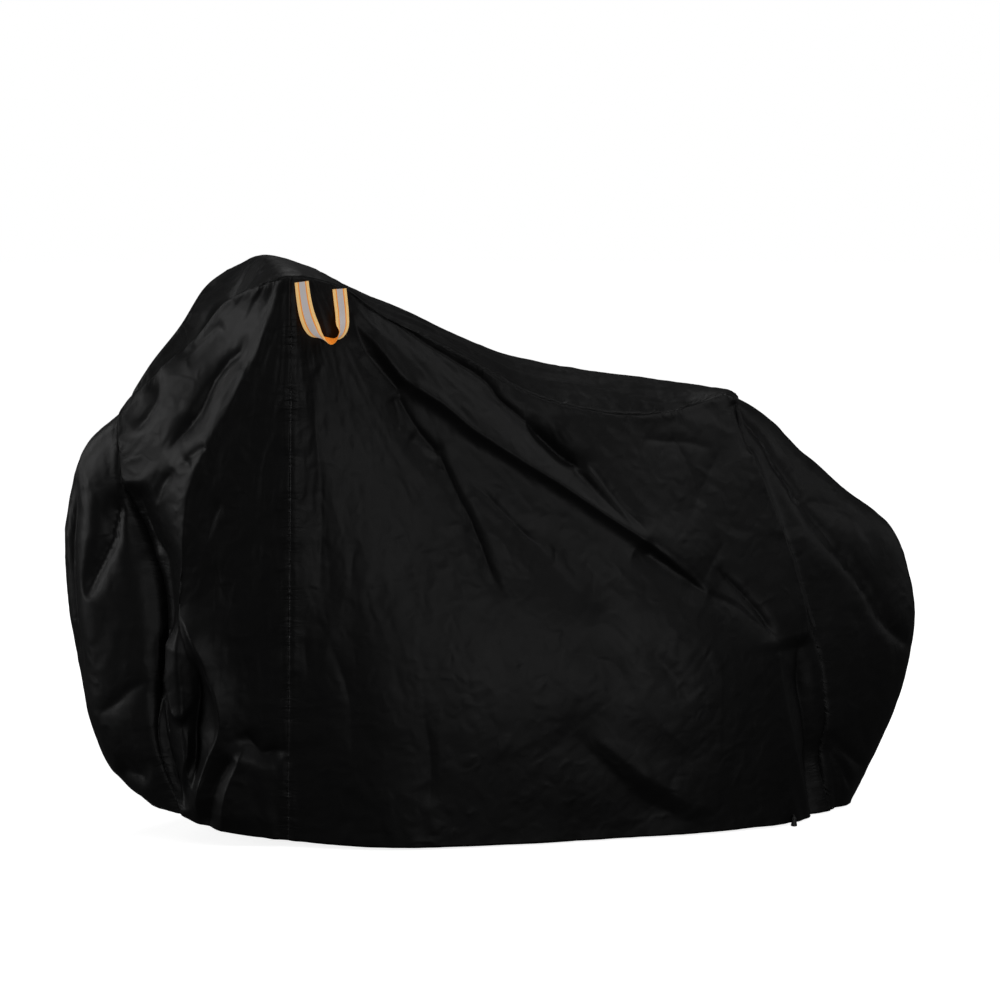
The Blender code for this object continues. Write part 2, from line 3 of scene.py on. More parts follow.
import bpy
import numpy as np
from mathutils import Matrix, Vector


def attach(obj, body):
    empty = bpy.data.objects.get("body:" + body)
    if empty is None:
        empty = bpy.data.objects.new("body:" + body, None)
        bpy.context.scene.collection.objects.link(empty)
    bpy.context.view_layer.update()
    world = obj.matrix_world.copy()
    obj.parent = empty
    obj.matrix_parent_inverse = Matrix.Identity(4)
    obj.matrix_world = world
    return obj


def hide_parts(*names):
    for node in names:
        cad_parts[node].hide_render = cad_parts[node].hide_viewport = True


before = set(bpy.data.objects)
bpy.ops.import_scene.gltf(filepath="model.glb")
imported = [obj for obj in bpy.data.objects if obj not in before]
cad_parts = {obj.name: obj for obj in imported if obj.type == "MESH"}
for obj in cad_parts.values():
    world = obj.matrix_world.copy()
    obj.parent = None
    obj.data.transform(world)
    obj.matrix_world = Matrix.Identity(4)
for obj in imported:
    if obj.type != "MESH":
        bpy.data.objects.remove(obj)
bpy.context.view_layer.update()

# Places are in a floor frame: x along the length, 0 at the front peak, y across with the near
# side negative, z above the ground. floorLevel moves a piece from there to the row. The tables
# of the cover's shape and folds are in millimetres, all else is in metres.
peakTop = 1.112
clothCad = 0.0018
floorLevel = -(peakTop - clothCad)

fineness = {
    "frontColumns": 110,    # grid columns on a front panel
    "mainColumns": 370,     # grid columns on a main panel
    "sideRows": 208,        # grid rows from the hem to the top seam
    "stripLanes": 76,       # grid lanes across the middle strip
    "lengthSteps": 400,     # steps in which the length of an edge is measured
    "crestSteps": 399,      # steps along the big ridge's crest
    "pathSteps": 36,        # steps along a fold's path
}

cloth = {
    "thick": 0.0014,        # the cloth and its coating
    "hemThick": 0.0030,     # turned hem round its flat elastic
    "hemHeight": 0.020, "hemEdge": (0.9, 1.15),     # shares of that height where it thins out
    "middleBlend": 0.012,   # width over which near folds fade out round the strip's middle
    "blunt": 0.0006,        # added to a distance from a fold's path, so that no crest is a knife
}


# ---- curves and tables

def byName(names, rows):    # the columns of a table, each under its own name
    return dict(zip(names, np.asarray(rows, float).T))


def spline(rows, at):
    # smooth curve through a table's rows, read at fractional row numbers: on each stretch it
    # is the cubic that leaves and arrives parallel to the line between the rows' neighbours
    rows = np.asarray(rows, float)
    at = np.asarray(at, float)
    last = len(rows) - 1
    index = np.clip(at.astype(int), 0, last - 1)
    step = (at - index)[:, None]
    before, start, end, after = (rows[np.clip(index + k, 0, last)] for k in (-1, 0, 1, 2))
    return 0.5 * (2 * start + (end - before) * step
                  + (2 * before - 5 * start + 4 * end - after) * step ** 2
                  + (3 * start - before - 3 * end + after) * step ** 3)


def evenRows(rows, steps):  # row numbers from the first row to the last
    return np.linspace(0, len(rows) - 1, steps + 1)


def rowsAtLengths(points, first, last, shares):
    # row numbers between two rows that lie at the given shares of the curve's length
    fine = np.linspace(first, last, fineness["lengthSteps"] + 1)
    curve = spline(points, fine)
    length = lengthsAlong(curve)
    return np.interp(np.asarray(shares) * length[-1], length, fine)


def smoothStep(low, high, value):
    # 0 at low, 1 at high, and between them 3 t squared less 2 t cubed of the share t
    t = np.clip((value - low) / (high - low), 0, 1)
    return t * t * (3 - 2 * t)


def unit(vectors):          # the same directions, one long
    return vectors / np.linalg.norm(vectors, axis=-1, keepdims=True)


def lengthsAlong(line):     # how far each point of a line is along it
    return np.r_[0, np.cumsum(np.linalg.norm(np.diff(line, axis=0), axis=1))]


def ripple(seed, places, size):
    # smooth uneven wave: random heights every size metres, joined by cosines
    heights = np.random.default_rng(seed).uniform(-1, 1, 4096)
    at = np.abs(np.asarray(places)) / size
    index = at.astype(int) % 4095
    share = (1 - np.cos(np.pi * (at % 1))) / 2
    return heights[index] * (1 - share) + heights[index + 1] * share


def lattice(seed, u, v):
    # smooth uneven field between -1 and 1: random heights at whole numbers, joined by cosines
    heights = np.random.default_rng(seed).uniform(-1, 1, (257, 257))
    u, v = np.asarray(u) % 256, np.asarray(v) % 256
    iu, iv = u.astype(int), v.astype(int)
    su, sv = (1 - np.cos(np.pi * (u - iu))) / 2, (1 - np.cos(np.pi * (v - iv))) / 2
    low = heights[iu, iv] * (1 - su) + heights[iu + 1, iv] * su
    high = heights[iu, iv + 1] * (1 - su) + heights[iu + 1, iv + 1] * su
    return low * (1 - sv) + high * sv


# ---- the cover's plain surface

# the middle strip's sections from the front hem up and over to the rear hem
stripColumns = ("seamX", "halfWidth", "seamZ", "farDx", "farDz", "midX", "midZ", "round")
stripTable = np.array((
    (-188, 98, 55, 0, 0, -244, 62, 2.0),     # front hem
    (-217, 102, 133, 0, 0, -314, 120, 2.2),
    (-234, 103, 215, 0, 0, -350, 212, 2.3),
    (-228, 102, 310, 0, 0, -371, 310, 2.3),
    (-219, 100, 405, 0, 0, -389, 405, 2.3),
    (-226, 92, 510, 0, 0, -398, 510, 2.3),
    (-250, 82, 590, 0, 0, -397, 600, 2.3),
    (-281, 75, 668, 6, 0, -380, 680, 2.2),
    (-292, 72, 750, 18, -4, -348, 758, 1.9),
    (-288, 75, 826, 22, 0, -286, 812, 1.5),     # front corner
    (-226, 95, 896, 2, 2, -184, 862, 1.4),
    (-150, 122, 966, -12, 6, -108, 930, 1.4),
    (-98, 170, 1032, -12, 12, -60, 1012, 1.6),
    (-46, 235, 1064, -10, 16, -30, 1086, 2.2),
    (14, 272, 1082, -6, 18, 0, 1112, 2.6),     # front peak
    (68, 245, 1076, 0, 10, 70, 1094, 2.2),
    (128, 222, 1054, 0, 4, 130, 1063, 2.0),
    (205, 200, 1004, 0, 2, 205, 1028, 2.0),
    (290, 190, 957, 0, 0, 290, 990, 2.0),
    (380, 182, 908, 0, 0, 380, 949, 2.0),
    (480, 180, 852, 0, 0, 480, 913, 2.0),
    (600, 180, 820, 0, 0, 600, 889, 2.0),
    (700, 162, 810, 0, 0, 700, 874, 2.0),
    (800, 125, 822, 0, 0, 800, 860, 2.0),
    (887, 90, 838, 0, 0, 900, 840, 2.4),     # rear peak
    (905, 102, 776, 0, -30, 990, 790, 1.8),
    (930, 116, 704, 0, -40, 1066, 722, 1.7),
    (968, 128, 606, 0, -34, 1158, 640, 1.7),
    (1000, 135, 515, 0, -10, 1252, 568, 1.8),
    (1026, 140, 425, 0, 0, 1297, 475, 1.8),
    (1066, 142, 318, 0, 0, 1312, 360, 1.9),
    (1082, 142, 205, 0, 0, 1285, 220, 1.9),
    (1086, 138, 110, 0, 0, 1236, 105, 1.9),
    (1110, 122, 6, 0, 0, 1178, 4, 1.9),     # rear hem
)) / (7 * (1000,) + (1,))
stripMarks = {"frontCorner": 9, "frontPeak": 14, "rearPeak": 24}

# the hem of either side, from the strip's front edge to its rear edge
hemColumns = ("x", "halfWidth", "z")
hemTable = np.array((
    (-188, 98, 55), (-140, 130, 36), (-68, 158, 22),
    (8, 172, 13),       # foot of the seam below the front peak
    (102, 208, 8), (212, 236, 5), (400, 240, 3), (600, 236, 3), (800, 232, 4), (930, 215, 5),
    (1004, 200, 5), (1068, 168, 5), (1110, 122, 6),
)) / 1000
peakSeamFoot = 3

# the big ridge from the front peak down the near front panel: its crest, height by height
crestColumns = ("z", "x")
crestTable = np.array((
    (80, -172), (225, -182), (320, -190), (414, -193), (509, -189),
    (604, -180), (679, -169), (746, -145), (813, -110), (868, -78),
    (956, -40), (1030, -10), (1082, 2),
)) / 1000
ridge = {
    "slope": 0.28,      # how far its rear facet falls back per metre towards the front
    "soft": 0.06,       # share of a facet over which the crest is rounded
    "least": 0.004,     # least width that a facet counts with
    "foot": (0.06, 0.24), "head": (1.00, 1.07),     # heights between which it fades
}

acrossFront = np.linspace(0, 1, fineness["frontColumns"] + 1)
acrossMain = np.linspace(0, 1, fineness["mainColumns"] + 1)
upSide = np.linspace(0, 1, fineness["sideRows"] + 1)


def stripGrid():
    # each half of a section falls from the middle to its seam by a power of its share
    seam = np.stack([(row[0], -row[1], row[2]) for row in stripTable])
    corner, peak, rear = (stripMarks[name] for name in ("frontCorner", "frontPeak", "rearPeak"))
    rows = np.concatenate([
        rowsAtLengths(seam, 0, corner, upSide),
        rowsAtLengths(seam, corner, peak, acrossFront)[1:],
        rowsAtLengths(seam, peak, rear, acrossMain)[1:],
        rowsAtLengths(seam, rear, len(stripTable) - 1, 1 - upSide[::-1])[1:]])
    at = dict(zip(stripColumns, spline(stripTable, rows).T[:, :, None]))
    lanes = np.linspace(-1, 1, fineness["stripLanes"] + 1)
    far = lanes > 0
    fall = np.abs(lanes) ** at["round"]
    x = at["midX"] + (at["seamX"] + at["farDx"] * far - at["midX"]) * fall
    z = at["midZ"] + (at["seamZ"] + at["farDz"] * far - at["midZ"]) * fall
    return np.stack([x, at["halfWidth"] * lanes, z], -1)


def patch(hem, top, front, rear, across, up):
    # surface between four edge curves: the mean of the two ways to join them, less the
    # corners that both count, so that each edge is kept
    u, v = across[:, None, None], up[None, :, None]
    ways = (1 - v) * hem[:, None] + v * top[:, None] + (1 - u) * front[None] + u * rear[None]
    corners = ((1 - u) * (1 - v) * hem[0] + u * (1 - v) * hem[-1]
               + (1 - u) * v * top[0] + u * v * top[-1])
    return ways - corners


def sideGrid(seam, way):
    # one side, both panels, hung between its seams and its hem
    rows, front, main = len(upSide), len(acrossFront) - 1, len(acrossMain) - 1
    at = byName(hemColumns, hemTable)
    hem = np.stack([at["x"], way * at["halfWidth"], at["z"]], -1)
    frontHem = spline(hem, rowsAtLengths(hem, 0, peakSeamFoot, acrossFront))
    mainHem = spline(hem, rowsAtLengths(hem, peakSeamFoot, len(hem) - 1, acrossMain))
    crossing = seam[rows - 1:rows + front]
    top = seam[rows - 1 + front:rows + front + main]
    rearSeam = seam[rows - 1 + front + main:][::-1]
    peakSeam = crossing[-1] * upSide[:, None] + frontHem[-1] * (1 - upSide[:, None])
    frontPanel = patch(frontHem, crossing, seam[:rows], peakSeam, acrossFront, upSide)
    if way < 0:
        frontPanel = ridgeFacets(frontPanel, seam, frontHem[-1])
    mainPanel = patch(mainHem, top, peakSeam, rearSeam, acrossMain, upSide)
    return np.concatenate([frontPanel, mainPanel[1:]])


def ridgeFacets(panel, seam, foot):
    # pulls the near front panel towards two flat facets that meet at the crest: y runs from
    # the crest's to the seam's by the share of the way there, which is softened at the crest
    # by the root of its square and a constant
    crests = byName(crestColumns, spline(crestTable, evenRows(crestTable, fineness["crestSteps"])))
    edge = seam[:len(upSide) + fineness["frontColumns"]]
    z = panel[..., 2]
    crest = np.interp(z, crests["z"], crests["x"])
    front = [np.interp(z, edge[:, 2], edge[:, axis]) for axis in (0, 1)]
    rear = [np.interp(z, (foot[2], edge[-1, 2]), (foot[axis], edge[-1, axis])) for axis in (0, 1)]
    crestY = rear[1] + ridge["slope"] * (rear[0] - crest)
    ahead = panel[..., 0] < crest
    seamX, seamY = np.where(ahead, front[0], rear[0]), np.where(ahead, front[1], rear[1])
    share = np.abs(panel[..., 0] - crest) / np.maximum(np.abs(seamX - crest), ridge["least"])
    soft = ridge["soft"]
    share = (np.sqrt(share ** 2 + soft ** 2) - soft) / (math.sqrt(1 + soft ** 2) - soft)
    y = crestY + (seamY - crestY) * np.clip(share, 0, 1)
    weight = smoothStep(*ridge["foot"], z) * (1 - smoothStep(*ridge["head"], z))
    shaped = panel.copy()
    shaped[1:-1, 1:-1, 1] += ((y - panel[..., 1]) * weight)[1:-1, 1:-1]
    return shaped


def normals(grid):          # square to the slopes along both ways of the grid
    return unit(np.cross(np.gradient(grid, axis=0), np.gradient(grid, axis=1)))


def border(side):           # a side's front, top and rear edges, in the strip's order
    return np.concatenate([side[0], side[1:, -1], side[-1, -2::-1]])


def setBorder(side, values):    # puts values in that order back on the edges
    columns, rows = side.shape[:2]
    side[0] = values[:rows]
    side[1:, -1] = values[rows:rows + columns - 1]
    side[-1, -2::-1] = values[rows + columns - 1:]


def joinedNormals(cover):   # with the mean of both sheets along each seam
    facing = {"near": normals(cover["near"]), "strip": normals(cover["strip"]),
              "far": -normals(cover["far"])}
    for name, lane in (("near", 0), ("far", -1)):
        mean = unit(border(facing[name]) + facing["strip"][:, lane])
        setBorder(facing[name], mean)
        facing["strip"][:, lane] = mean
    return facing


# ---- folds

fullnessColumns = ("x", "z", "reachX", "reachZ", "out")
fullness = {
    "near": (
        (430, 320, 300, 260, 30),   # low belly
        (800, 330, 220, 200, 16),
    ),
    "far": ((430, 320, 300, 260, 30), (800, 330, 220, 200, 16), (-110, 520, 110, 260, 20)),
    "strip": ((-320, 130, 60, 50, -6),),    # hollow near its front hem
}

# Each fold: height out of the cloth (a valley is negative), how wide it slopes on the left
# and the right of its path, how sharp its crest is (2 is round, 1 is a crease), the share of
# its length that fades out at either end, and the path's points (x, z) in the side view.
# Heights, widths and points are in millimetres.
foldColumns = ("out", "left", "right", "crest", "fade", "path")
broadFolds = {
    "near": (
        (15, 50, 14, 1.2, 0.2, ((-65, 205), (-84, 162), (-100, 121), (-110, 81), (-116, 12))),
        # broad roll from the front peak down and back, with its crest along the lower edge
        (20, 60, 12, 1.25, 0.16, ((127, 1003), (169, 962), (218, 896), (245, 875), (298, 840),
         (351, 796), (381, 775), (450, 730), (527, 683), (603, 631), (700, 562), (780, 496),
         (825, 455))),
        (-10, 30, 50, 1.8, 0.35, ((448, 620), (495, 553), (552, 485), (600, 426))),
        # light facet ahead of the rear seam, and its soft front edge
        (18, 14, 62, 1.2, 0.1, ((898, 873), (912, 752), (937, 678), (960, 616), (983, 547), (1002, 478),
         (1021, 396), (1026, 350))),
        # hollow ahead of the rear seam
        (-40, 18, 56, 1.2, 0.3, ((1003, 427), (1018, 344), (1036, 264), (1056, 192), (1072, 118),
         (1088, -16), (1113, -178), (1127, -270))),
    ),
    "far": (
        (36, 90, 60, 1.7, 0.1, ((4, 1040), (-34, 940), (-90, 820), (-150, 690), (-170, 560),
         (-176, 380))),
        (-12, 30, 34, 1.8, 0.25, ((-210, 600), (-180, 470), (-172, 330), (-176, 180))),
        (20, 45, 45, 1.8, 0.15, ((120, 1000), (250, 880), (400, 740), (520, 600))),
        (-14, 30, 35, 1.6, 0.2, ((150, 900), (260, 740), (350, 570), (390, 380))),
        (-14, 30, 35, 1.6, 0.2, ((300, 930), (440, 800), (560, 660), (680, 520))),
        (14, 40, 36, 1.8, 0.2, ((850, 760), (780, 560), (740, 360))),
        (-22, 30, 40, 1.7, 0.2, ((955, 420), (985, 280), (1020, 120))),
        (-16, 34, 30, 1.7, 0.22, ((450, 260), (540, 150), (640, 50))),
    ),
}

# creases on top of them, in the same columns
creases = {
    "near": (
        # narrow crease ahead of the big ridge
        (-16, 18, 11, 1.15, 0.22, ((-57, 983), (-82, 943), (-105, 922), (-130, 885), (-152, 838),
         (-178, 797), (-210, 749))),
        (-7, 10, 16, 1.2, 0.25, ((-214, 913), (-222, 855), (-242, 816), (-268, 788))),
        (-9, 12, 14, 1.2, 0.3, ((-191, 726), (-214, 699), (-229, 663), (-245, 619))),
        # crescent across the strip below the front corner
        (-18, 12, 20, 1.15, 0.22, ((-283, 685), (-295, 635), (-307, 582), (-325, 544), (-346, 501),
         (-361, 458))),
        # hollow beside the outline of the strip's front
        (-20, 18, 18, 1.4, 0.25, ((-366, 710), (-380, 636), (-389, 540), (-387, 443), (-381, 344),
         (-368, 245))),
        (-12, 30, 20, 1.8, 0.35, ((-314, 125), (-281, 125), (-245, 117))),
        # deep fold behind the front seam
        (-26, 30, 19, 1.25, 0.14, ((-280, 693), (-268, 653), (-255, 611), (-239, 572), (-226, 547),
         (-219, 489), (-216, 432), (-216, 376))),
        (-24, 10, 16, 1.25, 0.16, ((-219, 474), (-219, 394), (-222, 318), (-222, 242), (-212, 194))),
        # pouch below it, and the hollows round it
        (16, 26, 10, 1.2, 0.18, ((-203, 452), (-206, 379), (-207, 312), (-200, 264), (-179, 242))),
        (-24, 18, 13, 1.3, 0.22, ((-229, 365), (-228, 279), (-221, 203), (-201, 125), (-179, 61))),
        (-22, 14, 13, 1.3, 0.25, ((-163, 378), (-154, 305), (-162, 227), (-162, 168), (-168, 98))),
        (10, 10, 10, 1.2, 0.25, ((-175, 235), (-177, 177), (-186, 137), (-183, 86))),
        # ridges that run down to the front hem
        (22, 32, 14, 1.2, 0.14, ((-198, 461), (-173, 417), (-148, 367), (-137, 329), (-121, 292),
         (-114, 247), (-120, 212), (-137, 172), (-152, 125), (-156, 83), (-154, 29))),
        (-12, 12, 16, 1.3, 0.2, ((-87, 179), (-117, 134), (-132, 86), (-140, 20))),
        (-9, 11, 13, 1.2, 0.25, ((-72, 233), (-58, 206), (-39, 184), (-14, 189), (15, 188))),
        # left edge of the roll
        (-10, 30, 16, 1.2, 0.2, ((127, 1027), (153, 953), (184, 910), (210, 880), (229, 853))),
        # the crease above it, with the slit that opens in it
        (-14, 12, 22, 1.2, 0.1, ((110, 1063), (178, 1017), (224, 988), (271, 954), (329, 919),
         (385, 883), (415, 845), (453, 812), (491, 780), (529, 745), (585, 682), (673, 588))),
        (-32, 24, 10, 1.2, 0.35, ((442, 829), (472, 795), (506, 761), (532, 736), (559, 718),
         (589, 692))),
        (-7, 10, 10, 1.1, 0.2, ((563, 733), (590, 714), (614, 680), (642, 643), (693, 587))),
        # narrow crease that falls from the roll to the low belly
        (-10, 10, 16, 1.15, 0.14, ((206, 887), (230, 835), (258, 791), (292, 751), (313, 706),
         (331, 664), (352, 623), (372, 573), (389, 524), (417, 470))),
        # creases that carry the roll on towards the rear hem
        (-13, 12, 26, 1.1, 0.2, ((680, 576), (710, 546), (740, 522), (770, 500), (817, 459))),
        (-13, 11, 22, 1.1, 0.2, ((827, 520), (874, 475), (901, 446), (927, 414), (960, 361))),
        (-8, 11, 22, 1.1, 0.25, ((784, 480), (858, 449), (888, 430), (913, 407), (955, 366))),
        # trough and ridge at the foot of the belly
        (-7, 30, 36, 1.5, 0.3, ((502, 267), (560, 194), (609, 148), (678, 80), (738, 49), (824, 4))),
        (7, 26, 34, 1.6, 0.3, ((570, 217), (658, 146), (727, 98), (823, 32))),
        # creases behind the rear peak
        (-17, 12, 13, 1.15, 0.1, ((904, 832), (937, 788), (970, 748), (988, 705), (1016, 662),
         (1039, 614))),
        (-12, 12, 13, 1.2, 0.16, ((1015, 654), (1051, 594), (1107, 529), (1159, 472), (1200, 411))),
        (-10, 16, 16, 1.4, 0.3, ((1155, 482), (1191, 424), (1219, 382), (1256, 345), (1311, 300))),
        (-14, 10, 11, 1.2, 0.2, ((894, 829), (905, 781), (926, 721))),
        # gathers at the foot of the rear seam
        (-10, 13, 12, 1.2, 0.2, ((1085, 165), (1111, 99), (1122, 45), (1126, -34))),
        (-8, 12, 12, 1.2, 0.25, ((1085, 171), (1133, 123), (1196, 74))),
        (-8, 11, 11, 1.2, 0.25, ((1086, 145), (1124, 97), (1159, 35))),
        (-10, 11, 11, 1.2, 0.25, ((1045, 148), (1066, 90), (1067, -4))),
    ),
    "far": (
        (-16, 18, 12, 1.15, 0.22, ((-60, 975), (-110, 900), (-150, 820), (-205, 730))),
        (-14, 12, 18, 1.2, 0.25, ((-270, 640), (-245, 540), (-225, 440), (-222, 320), (-232, 200))),
        (-12, 12, 22, 1.2, 0.18, ((130, 1010), (260, 920), (380, 830), (500, 730), (610, 610))),
        (-10, 14, 20, 1.15, 0.2, ((200, 900), (270, 770), (330, 640), (360, 500))),
        (-10, 12, 26, 1.1, 0.22, ((600, 620), (690, 560), (780, 490), (880, 400))),
        (-22, 12, 40, 1.2, 0.2, ((980, 380), (1010, 280), (1040, 180), (1060, 40))),
        (-12, 13, 16, 1.2, 0.2, ((-150, 330), (-130, 230), (-145, 130), (-150, 40))),
        (12, 26, 14, 1.2, 0.2, ((-110, 350), (-85, 230), (-100, 120), (-105, 30))),
    ),
}

# creases too fine for the solids, in the same columns
fineFolds = {
    "near": (
        (-6, 12, 9, 1.2, 0.25, ((-99, 993), (-131, 969), (-177, 922))),
        (-6, 9, 9, 1.2, 0.25, ((-138, 770), (-156, 758), (-177, 742))),
        # diagonal crease on the strip's front, and a hollow below it
        (-6, 11, 13, 1.1, 0.25, ((-343, 240), (-308, 270), (-279, 297), (-242, 317))),
        (-6, 12, 16, 1.1, 0.25, ((239, 786), (268, 765), (296, 744))),
        (-5, 9, 12, 1.2, 0.25, ((343, 701), (381, 669), (419, 630), (457, 591), (495, 562))),
        (-3, 14, 16, 1.2, 0.3, ((859, 567), (827, 531), (796, 487))),
        (-3, 16, 24, 1.3, 0.3, ((872, 764), (839, 704), (809, 654), (776, 600))),
        (5, 14, 26, 1.2, 0.22, ((956, 369), (970, 292), (989, 216), (1010, 138), (1038, 56),
         (1059, -8))),
        # faint creases below the top seam and on the belly
        (-3, 9, 10, 1.1, 0.25, ((681, 767), (741, 759), (795, 753), (842, 737))),
        (-3, 10, 10, 1.2, 0.25, ((750, 783), (791, 702), (807, 636))),
        (-3, 12, 20, 1.3, 0.35, ((68, 762), (71, 631), (64, 480))),
        (-4, 20, 24, 1.5, 0.35, ((678, 386), (740, 316), (776, 267))),
        (-4, 30, 40, 1.8, 0.4, ((523, 429), (600, 350), (677, 271))),
        (-4, 12, 10, 1.2, 0.25, ((206, 859), (217, 828), (224, 785))),
        (-3, 10, 10, 1.2, 0.3, ((-123, 555), (-111, 498), (-86, 457))),
        (-3, 10, 10, 1.2, 0.3, ((-110, 669), (-128, 631), (-139, 584))),
        (-3, 12, 12, 1.2, 0.3, ((85, 404), (122, 289), (125, 174))),
        (-3, 12, 12, 1.2, 0.3, ((252, 287), (270, 172), (266, 76))),
        # faint lines on the strip's rear
        (-5, 12, 14, 1.2, 0.3, ((1035, 630), (1106, 615), (1174, 582), (1202, 502))),
        (-5, 12, 12, 1.2, 0.3, ((1020, 797), (1062, 730), (1085, 682))),
        (-4, 12, 12, 1.2, 0.3, ((1139, 428), (1174, 346), (1187, 223))),
    ),
    "far": (
        (-5, 12, 14, 1.4, 0.25, ((200, 960), (300, 850), (380, 740))),
        (-5, 12, 14, 1.4, 0.25, ((620, 760), (580, 620), (520, 480))),
        (4, 12, 14, 1.4, 0.25, ((880, 700), (860, 560), (880, 430))),
        (-5, 14, 12, 1.4, 0.25, ((-200, 760), (-220, 640), (-240, 520))),
        (-5, 14, 12, 1.4, 0.25, ((-80, 500), (-90, 340), (-120, 180))),
        (-5, 12, 16, 1.4, 0.25, ((100, 420), (220, 300), (340, 220))),
        (4, 12, 14, 1.4, 0.25, ((640, 420), (740, 300), (850, 180))),
    ),
}

# faint short creases strewn over the cloth, which point away from the front peak and hang
# down more and more towards the hem
crinkles = {
    "near": {"count": 120, "seed": 5}, "far": {"count": 120, "seed": 8},
    "x": (-0.36, 1.26), "z": (0.03, 1.02), "centre": (0.02, 1.12),
    "length": (0.050, 0.160), "width": (0.007, 0.014), "height": (0.0005, 0.0013),
    "slant": 0.35, "bend": 0.18, "uneven": (0.7, 1.6), "crest": 1.5, "fade": 0.45,
    "hang": 0.6, "hangFrom": 0.75, "hangBelow": 0.15,   # share and heights of hanging down
    "ridges": 0.45,     # share of them that stands out of the cloth
}

# the cloth's own crumple: uneven fields of facets that meet at soft edges, in layers with a
# size across and along the way the cloth hangs from the front peak
crumpleColumns = ("across", "along", "height")
crumpleTable = (
    (0.055, 0.150, 0.0022),
    (0.028, 0.060, 0.0012),
    (0.014, 0.022, 0.0006),
)
crumpleCentre = {"x": 0.02, "z": 1.16, "reach": 0.60}
crumpleField = {"warp": 0.35, "warpSize": 0.7, "middle": 0.35, "offset": 40}

seamPuckers = {
    "height": 0.0012, "size": 0.019, "reach": 0.024, "start": 0.006,
    "groove": 0.0006, "grooveWidth": 0.0045, "welt": 0.0004, "weltAt": 0.010,
    "second": (0.6, 2.3),   # strength and size of the second wave against the first
    "strengths": {"top": 1.1, "front": 1.0, "rear": 1.0, "peak": 0.8},
}
hemGathers = {
    "height": 0.0034, "size": 0.021, "reach": 0.075, "second": (0.7, 2.6), "fade": 1.5,
    "lean": 0.10,           # how far they lean over on their way up
    "least": 0.22, "full": 0.05, "fewer": 0.34,     # strength away from the ends, and where
    "strip": {"share": 0.5, "reach": 0.085, "waves": ((1.0, 0.020), (0.6, 0.047))},
}
stripWrinkles = {
    "height": 0.0056, "across": 0.021,
    "drift": ((0.018, 0.16), (0.010, 0.07)),        # sideways wander: height and size of two waves
    "swell": (0.65, 0.35, 0.11),                    # mean strength, and a wave's height and size
    "rise": (0.30, 0.36), "fall": (0.70, 0.60),     # shares of the length between which they show
}


def foldHeight(flat, fold):
    # out times a bell of the distance to the fold's path, wider or narrower on either side,
    # and faded in and out along the path; zero past three slopes, so only a box is worked out
    fold = dict(zip(foldColumns, fold))
    path = spline(fold["path"], evenRows(fold["path"], fineness["pathSteps"]))
    margin = 3 * max(fold["left"], fold["right"])
    inside = ((flat > path.min(0) - margin) & (flat < path.max(0) + margin)).all(-1)
    height = np.zeros(flat.shape[:-1])
    points = flat[inside]
    if not len(points):
        return height
    step = np.diff(path, axis=0)
    reach = points[:, None] - path[:-1]
    along = np.clip((reach * step).sum(-1) / (step ** 2).sum(-1), 0, 1)
    distance = np.linalg.norm(reach - along[..., None] * step, axis=-1)
    nearest = distance.argmin(-1)
    row = np.arange(len(points))
    turn = step[nearest, 0] * reach[row, nearest, 1] - step[nearest, 1] * reach[row, nearest, 0]
    share = (along[row, nearest] + nearest) / len(step)
    end = smoothStep(0, fold["fade"], np.minimum(share, 1 - share))
    slope = np.where(turn > 0, fold["left"], fold["right"])
    bell = np.exp(-((distance[row, nearest] + cloth["blunt"]) / slope) ** fold["crest"])
    height[inside] = fold["out"] * end * bell
    return height


def metres(folds):          # the same folds with their heights, widths and points in metres
    return [(*(size / 1000 for size in fold[:3]), *fold[3:5], np.array(fold[5]) / 1000)
            for fold in folds]


def crinkleFolds(side):
    # rows of the fold columns for the strewn creases of one side
    at = crinkles
    pick = np.random.default_rng(at[side]["seed"])
    rows = []
    for _ in range(at[side]["count"]):
        x, z = pick.uniform(*at["x"]), pick.uniform(*at["z"])
        down = at["hang"] * smoothStep(at["hangFrom"], at["hangBelow"], z)
        angle = math.atan2(z - at["centre"][1], x - at["centre"][0]) * (1 - down) - math.pi / 2 * down
        angle += pick.normal(0, at["slant"])
        half = pick.uniform(*at["length"]) / 2
        way = np.array([math.cos(angle), math.sin(angle)])
        bow = np.array([-way[1], way[0]]) * half * pick.normal(0, at["bend"])
        spot = np.array([x, z])
        path = np.stack([spot - way * half, spot + bow, spot + way * half])
        width = pick.uniform(*at["width"])
        out = pick.uniform(*at["height"]) * (1 if pick.random() < at["ridges"] else -1)
        rows.append((out, width, width * pick.uniform(*at["uneven"]), at["crest"], at["fade"], path))
    return rows


def crumple(u, v, seed):
    # for each layer, a constant less the size of an uneven field that another one has
    # shifted: it keeps its facets and turns each of its zero lines into an edge
    of = crumpleField
    height = np.zeros(np.broadcast(u, v).shape)
    for layer, row in enumerate(crumpleTable):
        at = dict(zip(crumpleColumns, row))
        a, b = u / at["across"] + of["offset"], v / at["along"] + of["offset"]
        shift = of["warp"] * lattice(seed + 50 + layer, a * of["warpSize"], b * of["warpSize"])
        field = lattice(seed + layer, a + shift, b - shift)
        height += at["height"] * (of["middle"] - np.abs(field)) * (1 if layer % 2 else -1)
    return height


def sideCrumple(points, seed):
    # crumple in the side view's own directions round the front peak
    dx, dz = points[..., 0] - crumpleCentre["x"], points[..., 2] - crumpleCentre["z"]
    return crumple(np.arctan2(dx, -dz) * crumpleCentre["reach"], np.hypot(dx, dz), seed)


